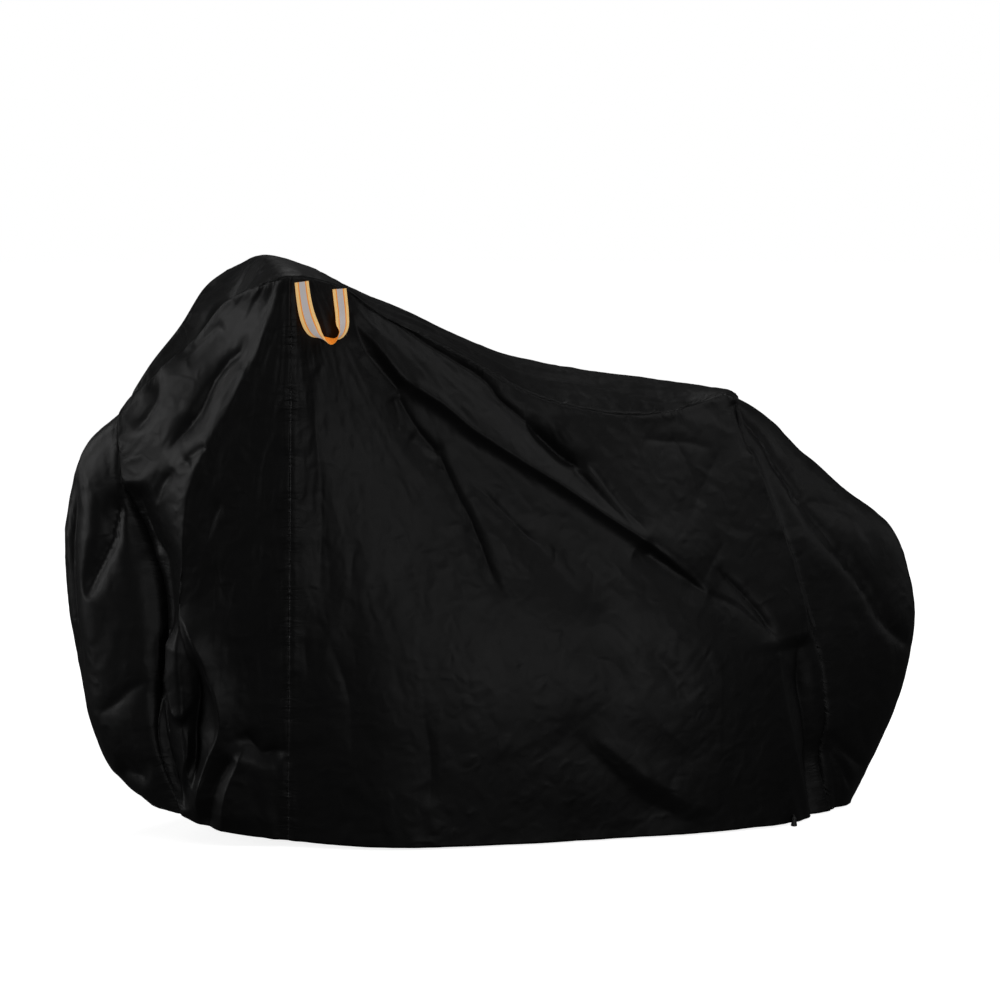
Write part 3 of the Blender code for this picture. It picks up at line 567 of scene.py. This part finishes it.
def relief(points, side, folds):
    # fullness adds up; of the broad folds the highest ridge and the deepest valley count, and
    # so with the creases on top of them; fine creases all add
    flat = points[..., [0, 2]]
    height = np.zeros(flat.shape[:-1])
    for row in fullness[side]:
        full = dict(zip(fullnessColumns, np.array(row) / 1000))
        height += full["out"] * np.exp(-((flat[..., 0] - full["x"]) / full["reachX"]) ** 2
                                       - ((flat[..., 1] - full["z"]) / full["reachZ"]) ** 2)
    for layer in (broadFolds[folds], creases[folds]):
        ups = [foldHeight(flat, fold) for fold in metres(layer)]
        height += np.maximum(np.max(ups, 0), 0) + np.minimum(np.min(ups, 0), 0)
    for fold in (*metres(fineFolds[folds]), *crinkleFolds(folds)):
        height += foldHeight(flat, fold)
    return height


def nearSeam(distance, along, seed, strength):
    # along a seam: uneven puckers square to it, a groove at the stitching and a low welt
    at = seamPuckers
    share, larger = at["second"]
    wave = ripple(seed, along, at["size"]) + share * ripple(seed + 1, along, at["size"] * larger)
    pucker = at["height"] * strength * wave * np.exp(-distance / at["reach"])
    pucker = pucker * smoothStep(0, at["start"], distance)
    groove = -at["groove"] * np.exp(-(distance / at["grooveWidth"]) ** 2)
    welt = at["welt"] * np.exp(-((distance - at["weltAt"]) / (0.5 * at["weltAt"])) ** 2)
    return pucker + groove + welt


def sideTrim(side, seed):
    # puckers along the four seams of a side and gathers along its hem
    split = fineness["frontColumns"]
    up = np.stack([lengthsAlong(line) for line in side])
    across = np.stack([lengthsAlong(line) for line in side.transpose(1, 0, 2)], 1)
    height = np.zeros(side.shape[:2])
    seams = {"top": (up[:, -1:] - up, across[:, -1:] + 0 * up), "front": (across, up),
             "rear": (across[-1:] - across, up), "peak": (np.abs(across - across[split]), up)}
    for number, (name, strength) in enumerate(seamPuckers["strengths"].items()):
        height += nearSeam(*seams[name], seed + 10 * number, strength)
    at = hemGathers
    along = across[:, :1] + 0 * up
    ends = np.minimum(along, along[-1:] - along)
    share = at["least"] + (1 - at["least"]) * smoothStep(at["fewer"], at["full"], ends)
    lean = along + at["lean"] * up
    second, larger = at["second"]
    wave = ripple(seed + 40, lean, at["size"])
    wave += second * ripple(seed + 41, lean, at["size"] * larger)
    height += at["height"] * share * wave * np.exp(-(up / at["reach"]) ** at["fade"])
    return height


def stripTrim(strip, seed):
    # seam puckers on both sides of the strip, long wrinkles on its top, gathers at its hems
    at = stripWrinkles
    across = np.stack([lengthsAlong(line) for line in strip])
    along = lengthsAlong(strip[:, strip.shape[1] // 2])[:, None] + 0 * across
    total = along[-1, 0]
    height = nearSeam(across, along, seed, 1.0)
    height += nearSeam(across[:, -1:] - across, along, seed + 10, 1.0)
    drift = across - 0.5 * across[:, -1:]
    for number, (aside, size) in enumerate(at["drift"]):
        drift = drift + aside * ripple(seed + 20 + number, along, size)
    wave = ripple(seed + 22, drift + 1.0, at["across"])
    rise, fall = (np.array(at[name]) * total for name in ("rise", "fall"))
    top = smoothStep(*rise, along) * smoothStep(*fall, along)
    mean, swing, size = at["swell"]
    height += at["height"] * wave * top * (mean + swing * ripple(seed + 23, along, size))
    hems = hemGathers["strip"]
    ends = np.minimum(along, total - along)
    gather = sum(share * ripple(seed + 24 + number, across + 0.4, size)
                 for number, (share, size) in enumerate(hems["waves"]))
    fade = np.exp(-(ends / hems["reach"]) ** hemGathers["fade"])
    height += hems["share"] * hemGathers["height"] * gather * fade
    return height


def stripCrumple(strip, seed):
    # crumple by the lengths across and along the strip
    across = np.stack([lengthsAlong(line) for line in strip])
    along = lengthsAlong(strip[:, strip.shape[1] // 2])[:, None]
    return crumple(across, along, seed)


def coverSurface():
    # the three plain grids, pushed out along their joined normals by folds and trim
    strip = stripGrid()
    cover = {"strip": strip, "near": sideGrid(strip[:, 0], -1), "far": sideGrid(strip[:, -1], 1)}
    facing = joinedNormals(cover)
    nearHalf = 1 / (1 + np.exp(strip[..., 1] / cloth["middleBlend"]))
    height = {"near": relief(cover["near"], "near", "near"),
              "far": relief(cover["far"], "far", "far"),
              "strip": relief(strip, "strip", "near") * nearHalf}
    print("folds worked out")
    trims = {"near": sideTrim(cover["near"], 100) + sideCrumple(cover["near"], 700),
             "far": sideTrim(cover["far"], 300) + sideCrumple(cover["far"], 800),
             "strip": stripTrim(strip, 500) + stripCrumple(strip, 900)}
    for name, lane in (("near", 0), ("far", -1)):
        shared = 0.5 * (border(height[name]) + height["strip"][:, lane])
        height["strip"][:, lane] = shared
        setBorder(height[name], shared)
        trims["strip"][:, lane] = -seamPuckers["groove"]
        setBorder(trims[name], np.full(len(shared), -seamPuckers["groove"]))
    return {name: cover[name] + facing[name] * (height[name] + trims[name])[..., None]
            for name in cover}


# ---- meshes

def addPiece(name, points, faces, maps):
    # one mesh at the origin, with its uv maps, which are in metres over the flat cloth; a face
    # of four corners that names one twice running is a triangle
    mesh = bpy.data.meshes.new(name)
    points = np.asarray(points, np.float32) + np.array((0, 0, floorLevel), np.float32)
    faces = np.asarray(faces, np.int32)
    keep = np.stack([faces[:, k] != faces[:, k - 1] for k in range(4)], -1)
    corners = faces[keep]
    mesh.vertices.add(len(points))
    mesh.vertices.foreach_set("co", points.ravel())
    mesh.loops.add(len(corners))
    mesh.loops.foreach_set("vertex_index", corners)
    mesh.polygons.add(len(faces))
    starts = np.r_[0, np.cumsum(keep.sum(1))[:-1]].astype(np.int32)
    mesh.polygons.foreach_set("loop_start", starts)
    mesh.update(calc_edges=True)
    for key, uv in maps.items():
        layer = mesh.uv_layers.new(name=key)
        layer.data.foreach_set("uv", np.asarray(uv, np.float32)[corners].ravel())
    mesh.shade_smooth()
    piece = bpy.data.objects.new(name, mesh)
    bpy.context.scene.collection.objects.link(piece)
    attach(piece, "root")
    return piece


def gridFaces(index):       # a quad for each cell of a grid of point numbers
    quads = np.stack([index[:-1, :-1], index[1:, :-1], index[1:, 1:], index[:-1, 1:]], -1)
    return quads.reshape(-1, 4)


def tubeFaces(index):       # the same where each row of numbers is a closed ring
    beside = np.roll(index, -1, axis=1)
    return np.stack([index[:-1], beside[:-1], beside[1:], index[1:]], -1).reshape(-1, 4)


def ring(index):            # the border of a grid of numbers, once round
    return np.concatenate([index[:-1, 0], index[-1, :-1], index[:0:-1, -1], index[0, :0:-1]])


def sheetPiece(name, grid, facing, thick, flip, seams):
    # closed thin sheet: the outer grid, every second point of it moved in by the thickness,
    # and a rim of two triangles and a quad for each pair of outer edges
    inner = (grid - facing * thick[..., None])[::2, ::2]
    index = np.arange(grid[..., 0].size).reshape(grid.shape[:2])
    innerIndex = np.arange(inner[..., 0].size).reshape(inner.shape[:2]) + index.size
    out, ins = ring(index), ring(innerIndex)
    start, middle, end = out[::2], out[1::2], np.roll(out[::2], -1)
    rim = np.concatenate([
        np.stack([start, ins, middle, middle], -1), np.stack([middle, ins, np.roll(ins, -1), end], -1)])
    faces = np.concatenate([gridFaces(index), gridFaces(innerIndex)[:, ::-1], rim])
    u = np.stack([lengthsAlong(line) for line in grid.transpose(1, 0, 2)], 1)
    v = np.stack([lengthsAlong(line) for line in grid])
    aside = np.minimum(u, u[-1:] - u) if "sides" in seams else u * 0 + 1
    above = v[:, -1:] - v if "top" in seams else v * 0 + 1
    above = np.minimum(above, v) if "foot" in seams else above
    points = np.concatenate([grid.reshape(-1, 3), inner.reshape(-1, 3)])
    maps = {"flat": (u, v), "seams": (aside, above)}
    maps = {key: np.stack(pair, -1) for key, pair in maps.items()}
    maps = {key: np.concatenate([at.reshape(-1, 2), at[::2, ::2].reshape(-1, 2)])
            for key, at in maps.items()}
    piece = addPiece(name, points, faces[:, ::-1] if flip else faces, maps)
    cells = np.cross(grid[1:, :-1] - grid[:-1, :-1], grid[:-1, 1:] - grid[:-1, :-1])
    return piece, float(np.linalg.norm(cells, axis=-1).sum())


# ---- shader maths

class Value:
    # a socket in a node tree, with the operators that shader maths needs
    def __init__(self, tree, socket):
        self.tree, self.socket = tree, socket

    def math(self, operation, *others):
        return node(self.tree, "Math", {"operation": operation}, (self, *others))

    def __add__(self, other): return self.math("ADD", other)
    def __radd__(self, other): return self.math("ADD", other)
    def __sub__(self, other): return self.math("SUBTRACT", other)
    def __mul__(self, other): return self.math("MULTIPLY", other)
    def __rmul__(self, other): return self.math("MULTIPLY", other)

    def __rsub__(self, other):
        return node(self.tree, "Math", {"operation": "SUBTRACT"}, (other, self))


def node(tree, kind, settings=None, values=(), output=0):
    # adds one node: its settings first, then its sockets' values or links, by place or name
    made = tree.nodes.new("ShaderNode" + kind)
    for name, value in (settings or {}).items():
        setattr(made, name, value)
    pairs = values.items() if isinstance(values, dict) else enumerate(values)
    for name, value in pairs:
        if isinstance(value, Value):
            tree.links.new(value.socket, made.inputs[name])
        else:
            made.inputs[name].default_value = value
    return Value(tree, made.outputs[output])


def newMaterial(name, specular, sheen=0.0):
    material = bpy.data.materials.new(name)
    material.use_nodes = True
    shader = material.node_tree.nodes["Principled BSDF"]
    shader.inputs["Specular IOR Level"].default_value = specular
    shader.inputs["Sheen Weight"].default_value = sheen
    return material, material.node_tree, shader


def feed(shader, name, value):
    value.tree.links.new(value.socket, shader.inputs[name])


def mixColour(tree, share, first, second):
    return node(tree, "Mix", {"data_type": "RGBA"}, {0: share, 6: first, 7: second}, 2)


def mapParts(tree, name):
    # the first and second value of a uv map, and the map itself
    flat = node(tree, "UVMap", {"uv_map": name})
    return *(node(tree, "SeparateXYZ", values=(flat,), output=part) for part in (0, 1)), flat


def band(value, middle, width, soft):
    # 1 where the value is within width of the middle, falling to 0 over soft
    away = (value - middle).math("ABSOLUTE")
    return node(value.tree, "MapRange", {"interpolation_type": "SMOOTHSTEP"},
                {0: away, 1: width, 2: width + soft, 3: 1.0, 4: 0.0})


clothLook = {
    "black": (0.0032, 0.0032, 0.0033, 1), "faded": (0.0060, 0.0060, 0.0062, 1),
    "roughness": 0.46, "roughnessSwing": 0.10, "specular": 0.22,
    "cloudSize": 5.0, "grain": 90.0,
    "yarn": 0.0009, "yarnBump": 0.10, "crinkleSize": 34.0, "crinkleBump": 0.0012,
    "streakBump": 0.0010, "puckers": 85.0, "puckerReach": 0.012, "puckerBump": 0.0048,
    "patches": 16.0, "patchRange": (0.42, 0.66), "patchLeast": 0.15,
    "stitch": 0.0032, "stitchBump": 0.00003, "rowsAt": (0.0030, 0.0075), "rowHalf": 0.0003,
    "rowSoft": 0.0006,
}


def seamPattern(tree, along, away):
    # height of the puckers square to a seam, which die out away from it in patches, less the
    # depth of its two rows of stitches
    look = clothLook
    line = node(tree, "TexNoise", {"noise_dimensions": "2D"},
                {"Vector": node(tree, "CombineXYZ", values=(along, away * 0.25)),
                 "Scale": look["puckers"], "Detail": 2.0, "Roughness": 0.6, "Distortion": 0.5})
    fade = (away * (-1 / look["puckerReach"])).math("EXPONENT")
    patchy = node(tree, "TexNoise", {"noise_dimensions": "1D"}, {"W": along, "Scale": look["patches"]})
    low, high = look["patchRange"]
    fade = fade * node(tree, "MapRange", values={0: patchy, 1: low, 2: high, 3: look["patchLeast"]})
    stitches = (along * (2 * math.pi / look["stitch"])).math("SINE") * 0.4 + 0.6
    first, second = (band(away, at, look["rowHalf"], look["rowSoft"]) for at in look["rowsAt"])
    sunk = (first + second) * stitches * look["stitchBump"]
    return (line - 0.5) * fade * look["puckerBump"] - sunk


def clothMaterial(name, tint):
    # plain weave of fine yarns under a thin coating: cross ribs from two sines, soft crinkles
    # from warped noise, and a little fading and scuffing that changes colour and gloss
    look = clothLook
    material, tree, shader = newMaterial(name, look["specular"])
    place = node(tree, "TexCoord", output=3)
    u, v, _ = mapParts(tree, "flat")
    turns = 2 * math.pi / look["yarn"]
    warp = (u * turns).math("SINE")
    weft = (v * turns).math("SINE")
    weave = warp * 0.5 * weft + 0.5
    broad = node(tree, "TexNoise", values={"Vector": place, "Scale": look["cloudSize"],
                                           "Detail": 3.0, "Roughness": 0.55, "Distortion": 0.6})
    crinkle = node(tree, "TexNoise", {"noise_type": "RIDGED_MULTIFRACTAL"},
                   {"Vector": place, "Scale": look["crinkleSize"], "Detail": 2.0,
                    "Roughness": 0.5, "Distortion": 0.5})
    fine = node(tree, "TexNoise", values={"Vector": place, "Scale": look["grain"], "Detail": 4.0})
    share = broad * 0.7 + fine * 0.3
    feed(shader, "Base Color", mixColour(tree, share * tint, look["black"], look["faded"]))
    rough = look["roughness"] - look["roughnessSwing"] / 2 + broad * look["roughnessSwing"]
    feed(shader, "Roughness", rough + fine * 0.04)
    aside, above, _ = mapParts(tree, "seams")
    puckers = seamPattern(tree, v, aside) + seamPattern(tree, u, above)
    height = crinkle * look["crinkleBump"] + broad * look["streakBump"] + puckers
    soft = node(tree, "Bump", values={"Strength": 1.0, "Distance": 1.0, "Height": height})
    threads = node(tree, "Bump", values={"Strength": look["yarnBump"], "Distance": 0.0002,
                                         "Height": weave, "Normal": soft})
    feed(shader, "Normal", threads)
    return material


# ---- the pieces of cloth

print("working out the cloth")
cover = coverSurface()
facing = joinedNormals(cover)
sideCloth = clothMaterial("side_cloth", 0.8)
stripCloth = clothMaterial("strip_cloth", 1.1)


def hemThickness(lengths):  # from the hem's to the cloth's, by the length from the edge
    low, high = (cloth["hemHeight"] * share for share in cloth["hemEdge"])
    return cloth["thick"] + (cloth["hemThick"] - cloth["thick"]) * smoothStep(high, low, lengths)


def buildPanels():
    # the two panels of each side and the strip, each a closed sheet of its part of the grids
    split = fineness["frontColumns"]
    for side, flip in (("near", False), ("far", True)):
        for part, columns in (("front", np.s_[:split + 1]), ("main", np.s_[split:])):
            grid, facings = cover[side][columns], facing[side][columns]
            up = np.stack([lengthsAlong(line) for line in grid])
            name = side + "_" + part + "_panel"
            piece, area = sheetPiece(name + "_cloth", grid, facings, hemThickness(up), flip,
                                     ("sides", "top"))
            piece.data.materials.append(sideCloth)
            declareSheet(name)
            print(name, "done, area", round(area, 3))
    strip = cover["strip"]
    along = lengthsAlong(strip[:, strip.shape[1] // 2])
    ends = np.minimum(along, along[-1] - along)[:, None] + 0 * strip[..., 0]
    piece, area = sheetPiece("middle_strip_cloth", strip, facing["strip"], hemThickness(ends),
                             False, ("top", "foot"))
    piece.data.materials.append(stripCloth)
    declareSheet("middle_strip")
    print("middle strip done, area", round(area, 3))


def declareSheet(cadNode):
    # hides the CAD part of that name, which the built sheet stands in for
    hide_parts(cadNode)


buildPanels()

# ---- the webbing loop

loopLook = {
    "width": 0.029, "thick": 0.0014, "thinner": 0.55, "rim": 0.1,   # thinner towards the rims
    "steps": 160, "lanes": 24, "smooth": 12,
    "orange": (0.95, 0.30, 0.014, 1), "gold": (0.95, 0.66, 0.27, 1),
    "worn": (0.55, 0.11, 0.02, 1), "grey": (0.50, 0.46, 0.45, 1),
    "stripe": (0.42, 0.05), "plain": (0.52, 0.14),  # half width and soft edge, in half widths
    # glow: strength of the painted light that the loop gives off in its own colour
    "rib": 0.0011, "ribsAcross": 55.0, "grain": 160.0, "glow": 0.46,
}
loopColumns = ("x", "z", "off", "turn")
loopTable = (
    (0.0320, 1.072, 0.0029, 0.0), (0.0335, 1.047, 0.0058, 4.0), (0.0365, 1.018, 0.0110, 14.0),
    (0.0420, 0.995, 0.0165, 32.0), (0.0530, 0.975, 0.0205, 72.0),
    (0.0750, 0.964, 0.0190, 116.0),     # foot of the loop
    (0.0950, 0.972, 0.0200, 52.0), (0.1040, 0.989, 0.0150, 8.0), (0.1075, 1.012, 0.0080, 2.0),
    (0.1070, 1.036, 0.0042, 0.0), (0.1060, 1.057, 0.0020, 0.0),
)


def onCloth(x, z):
    # points and outward normals of the near side's cloth at places of the side view, from
    # the plane that fits the nearest grid points best
    points = cover["near"][::3, ::3].reshape(-1, 3)
    gap = np.hypot(points[:, 0] - x[:, None], points[:, 2] - z[:, None])
    base = points[np.argsort(gap, axis=1)[:, :8]]
    flat = np.stack([np.ones(base.shape[:2]), base[..., 0] - x[:, None],
                     base[..., 2] - z[:, None]], -1)
    y, riseX, riseZ = (np.linalg.pinv(flat) @ base[..., 1:2])[..., 0].T
    way = np.stack([riseX, -np.ones_like(y), riseZ], -1)
    return np.stack([x, y, z], -1), unit(way)


def buildLoop():
    # a flat band carried along the row of places, turned about its own length
    look = loopLook
    at = byName(loopColumns, spline(loopTable, evenRows(loopTable, look["steps"])))
    ends = onCloth(at["x"][[0, -1]], at["z"][[0, -1]])[1]
    base, _ = onCloth(at["x"], at["z"])
    share = np.linspace(0, 1, look["steps"] + 1)[:, None]
    window = 2 * look["smooth"] + 1
    padded = np.pad(base[:, 1], look["smooth"], "edge")
    base[:, 1] = np.convolve(padded, np.ones(window) / window, "valid")
    outward = unit((1 - share) * ends[0] + share * ends[1])
    places = base + outward * at["off"][:, None]
    run = unit(np.gradient(places, axis=0))
    flat = unit(np.cross(outward, run))
    face = np.cross(run, flat)
    angle = np.radians(at["turn"])[:, None]
    wide = flat * np.cos(angle) + face * np.sin(angle)
    deep = np.cross(run, wide)
    across = np.linspace(-1, 1, look["lanes"] + 1)
    outer = np.clip((np.abs(across) - (1 - look["rim"])) / look["rim"], 0, 1)
    half = look["thick"] / 2 * (1 - look["thinner"] * outer ** 2)
    middle = places[:, None] + wide[:, None] * across[None, :, None] * look["width"] / 2
    front = middle - deep[:, None] * half[None, :, None]
    back = middle + deep[:, None] * half[None, :, None]
    skin = np.concatenate([front, back[:, ::-1]], 1)
    index = np.arange(skin[..., 0].size).reshape(skin.shape[:2])
    lanes = look["lanes"]
    caps = [np.stack([line[:lanes], line[1:lanes + 1], line[::-1][1:lanes + 1],
                      line[::-1][:lanes]], -1) for line in (index[0], index[-1])]
    along = lengthsAlong(places)[:, None] + 0 * skin[..., 0]
    side = np.concatenate([across + 3, across[::-1]])[None] + 0 * along
    uv = np.stack([side, along], -1).reshape(-1, 2)
    faces = np.concatenate([tubeFaces(index), caps[0][:, ::-1], caps[1]])
    piece = addPiece("hang_loop_webbing", skin.reshape(-1, 3), faces, {"flat": uv})
    piece.data.set_sharp_from_angle(angle=math.radians(50))
    piece.data.materials.append(webbingMaterial())
    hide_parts("hang_loop")


def webbingMaterial():
    # bright orange webbing that glows a little with its own colour, painted light that brightens
    # the whole loop and its grey stripe though it is no lamp: ribs along the uv, gold edges, and a
    # grey reflective stripe on the front face, which has the uv's first value between -1 and 1
    look = loopLook
    material, tree, shader = newMaterial("webbing", 0.35, 0.25)
    side, along, flat = mapParts(tree, "flat")
    stripe = band(side, 0.0, *look["stripe"])
    edge = 1 - band(side, 0.0, *look["plain"])
    front = side.math("LESS_THAN", 1.5)
    turns = (along * (2 * math.pi / look["rib"])).math("SINE")
    ribs = (turns * (side * look["ribsAcross"]).math("SINE")) * 0.5 + 0.5
    noise = node(tree, "TexNoise", values={"Vector": flat, "Scale": look["grain"], "Detail": 3.0})
    orange = mixColour(tree, edge * 0.95 * front, look["orange"], look["gold"])
    worn = mixColour(tree, noise * 0.25, orange, look["worn"])
    onFace = stripe * front
    colour = mixColour(tree, onFace, worn, look["grey"])
    feed(shader, "Base Color", colour)
    # painted light: the loop gives off its own colour, gold edges and grey stripe too, so it shines
    # brighter than the lamps alone make it
    feed(shader, "Emission Color", colour)
    shader.inputs["Emission Strength"].default_value = look["glow"]
    feed(shader, "Roughness", 0.75 - onFace * 0.38 + noise * 0.1)
    ribHeight = ribs * (1 - onFace * 0.7) + stripe * front * 0.6
    bump = node(tree, "Bump", values={"Strength": 0.6, "Distance": 0.0003, "Height": ribHeight})
    feed(shader, "Normal", bump)
    return material


buildLoop()

# ---- the moulded cord end

toggleLook = {"x": 0.998, "top": 0.0205, "sides": 48, "steps": 64, "ribs": 8, "ribDepth": 0.04,
              "ribFrom": (0.006, 0.010), "least": 0.0008, "grain": 1500.0,
              "black": (0.012, 0.012, 0.012, 1), "worn": (0.02, 0.02, 0.02, 1)}
toggleColumns = ("out", "drop", "radius")
toggleTable = (
    (0.0008, 0.0000, 0.0015), (0.0050, 0.0000, 0.0015), (0.0078, 0.0008, 0.0016),
    (0.0090, 0.0030, 0.0030), (0.0090, 0.0045, 0.0042), (0.0090, 0.0090, 0.0047),
    (0.0090, 0.0150, 0.0056), (0.0090, 0.0188, 0.0062), (0.0090, 0.0200, 0.0050),
)


def buildToggle():
    # a bell turned round a short bent line: rings of points round each place of the line
    look = toggleLook
    at = byName(toggleColumns, spline(toggleTable, evenRows(toggleTable, look["steps"])))
    hem = cover["near"][:, 4]
    y = np.interp(look["x"], hem[:, 0], hem[:, 1])
    spine = np.stack([look["x"] + 0 * at["out"], y - at["out"], look["top"] - at["drop"]], -1)
    run = unit(np.gradient(spine, axis=0))
    sideways = np.array([1.0, 0.0, 0.0])
    other = np.cross(run, sideways)
    turns = np.linspace(0, 2 * np.pi, look["sides"], endpoint=False)
    circle = np.cos(turns)[None, :, None] * sideways + np.sin(turns)[None, :, None] * other[:, None]
    grip = 1 + look["ribDepth"] * (np.cos(turns * look["ribs"])[None]
                                   * smoothStep(*look["ribFrom"], at["drop"])[:, None])
    radius = np.maximum(at["radius"], look["least"])[:, None] * grip
    rings = spine[:, None] + circle * radius[..., None]
    index = np.arange(rings.shape[0] * look["sides"]).reshape(rings.shape[:2])
    beside = np.roll(index, -1, axis=1)
    first, last = index.size + np.zeros((2, look["sides"]), int) + [[0], [1]]
    faces = np.concatenate([tubeFaces(index), np.stack([beside[0], index[0], first, first], -1),
                            np.stack([index[-1], beside[-1], last, last], -1)])
    points = np.concatenate([rings.reshape(-1, 3), spine[[0, -1]]])
    piece = addPiece("drawcord_toggle_plastic", points, faces, {})
    piece.data.set_sharp_from_angle(angle=math.radians(50))
    piece.data.materials.append(toggleMaterial())
    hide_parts("drawcord_toggle")
    print("cord end done")


def toggleMaterial():
    # matte moulded plastic with a fine grain
    material, tree, shader = newMaterial("toggle_plastic", 0.45)
    place = node(tree, "TexCoord", output=3)
    look = toggleLook
    grain = node(tree, "TexNoise", values={"Vector": place, "Scale": look["grain"], "Detail": 2.0})
    feed(shader, "Base Color", mixColour(tree, grain, look["black"], look["worn"]))
    feed(shader, "Roughness", 0.42 + grain * 0.15)
    bump = node(tree, "Bump", values={"Strength": 0.3, "Distance": 0.0001, "Height": grain})
    feed(shader, "Normal", bump)
    return material


buildToggle()

# ---- camera, floor and light

view = {"azimuth": -11.0, "elevation": 7.0, "distance": 4.94, "lens": 90.4578,
        "target": (0.451, 0.0, 0.632)}
studio = {
    "distance": 5.0, "centre": (0.40, 0.0, 0.5), "ambient": 0.030,
    "floor": (0.80, 0.80, 0.80, 1), "floorRadius": 40, "floorSides": 96,
    "glow": 0.84, "clear": 1.2, "soft": 0.8,    # the floor's glow near the cover, and how far out
}
lightColumns = ("azimuth", "elevation", "size", "power")
lights = {      # direction round the cover in degrees, height above level, size and power
    "lowLeft": (-82, 10, 2.4, 66.0),
    "behindLeft": (-120, 22, 2.0, 22.0),
    "frontFill": (17, 0, 1.0, 17.0),
    "lowFront": (3, -3, 0.4, 12.0),
    "right": (58, 38, 2.6, 27.0),
    "farRight": (96, 14, 2.2, 7.0),
    "highRight": (40, 62, 2.6, 26.0),
    "highLeft": (-40, 62, 2.2, 8.0),
    "back": (178, 60, 2.6, 28.0),
}


def aim(thing, place, target):
    thing.location = place
    thing.rotation_euler = (Vector(target) - Vector(place)).to_track_quat("-Z", "Y").to_euler()


def direction(azimuth, elevation):
    # unit vector from the cover, with azimuth 0 in front of its near side
    azimuth, elevation = math.radians(azimuth), math.radians(elevation)
    return Vector((math.sin(azimuth) * math.cos(elevation),
                   -math.cos(azimuth) * math.cos(elevation), math.sin(elevation)))


def buildCamera():
    target = Vector(view["target"]) + Vector((0, 0, floorLevel))
    camera = bpy.data.objects.new("photoCamera", bpy.data.cameras.new("photoCamera"))
    camera.data.lens = view["lens"]
    camera.data.sensor_width = 36
    bpy.context.scene.collection.objects.link(camera)
    aim(camera, target + direction(view["azimuth"], view["elevation"]) * view["distance"], target)
    bpy.context.scene.camera = camera


def buildFloor():
    # a wide round floor that takes shadows near the cover, glows to plain white further out,
    # and neither lights the cloth nor shows in it
    sides, radius = studio["floorSides"], studio["floorRadius"]
    turns = np.linspace(0, 2 * np.pi, sides, endpoint=False)
    mesh = bpy.data.meshes.new("studioFloor")
    rim = np.stack([radius * np.cos(turns), radius * np.sin(turns), np.full(sides, floorLevel)], -1)
    mesh.from_pydata(rim.tolist(), [], [tuple(range(sides))])
    floor = bpy.data.objects.new("studioFloor", mesh)
    bpy.context.scene.collection.objects.link(floor)
    material, tree, shader = newMaterial("studioFloor", 0.0)
    shader.inputs["Base Color"].default_value = studio["floor"]
    shader.inputs["Roughness"].default_value = 0.9
    place = node(tree, "TexCoord", output=3)
    away = node(tree, "VectorMath", {"operation": "LENGTH"}, (place,), 1)
    share = node(tree, "MapRange", {"interpolation_type": "SMOOTHSTEP"},
                 {0: away, 1: studio["clear"], 2: studio["clear"] + studio["soft"]})
    glow = studio["glow"] + share * (1 - studio["glow"])
    feed(shader, "Emission Color", mixColour(tree, glow, (0, 0, 0, 1), (1, 1, 1, 1)))
    shader.inputs["Emission Strength"].default_value = 1.0
    mesh.materials.append(material)
    floor.visible_diffuse = False
    floor.visible_glossy = False


def buildLights():
    scene = bpy.context.scene
    for name, row in lights.items():
        at = dict(zip(lightColumns, row))
        light = bpy.data.lights.new(name, "AREA")
        light.shape = "DISK"
        light.size = at["size"]
        light.energy = at["power"]
        holder = bpy.data.objects.new(name, light)
        scene.collection.objects.link(holder)
        centre = Vector(studio["centre"]) + Vector((0, 0, floorLevel))
        aim(holder, centre + direction(at["azimuth"], at["elevation"]) * studio["distance"], centre)
    world = bpy.data.worlds.new("studio")
    world.use_nodes = True
    tree = world.node_tree
    straight = node(tree, "LightPath")
    strength = studio["ambient"] + straight * (1 - studio["ambient"])
    tree.links.new(strength.socket, tree.nodes["Background"].inputs[1])
    tree.nodes["Background"].inputs[0].default_value = (1, 1, 1, 1)
    scene.world = world
    scene.view_settings.view_transform = "Standard"


buildCamera()
buildFloor()
buildLights()
print("scene done")
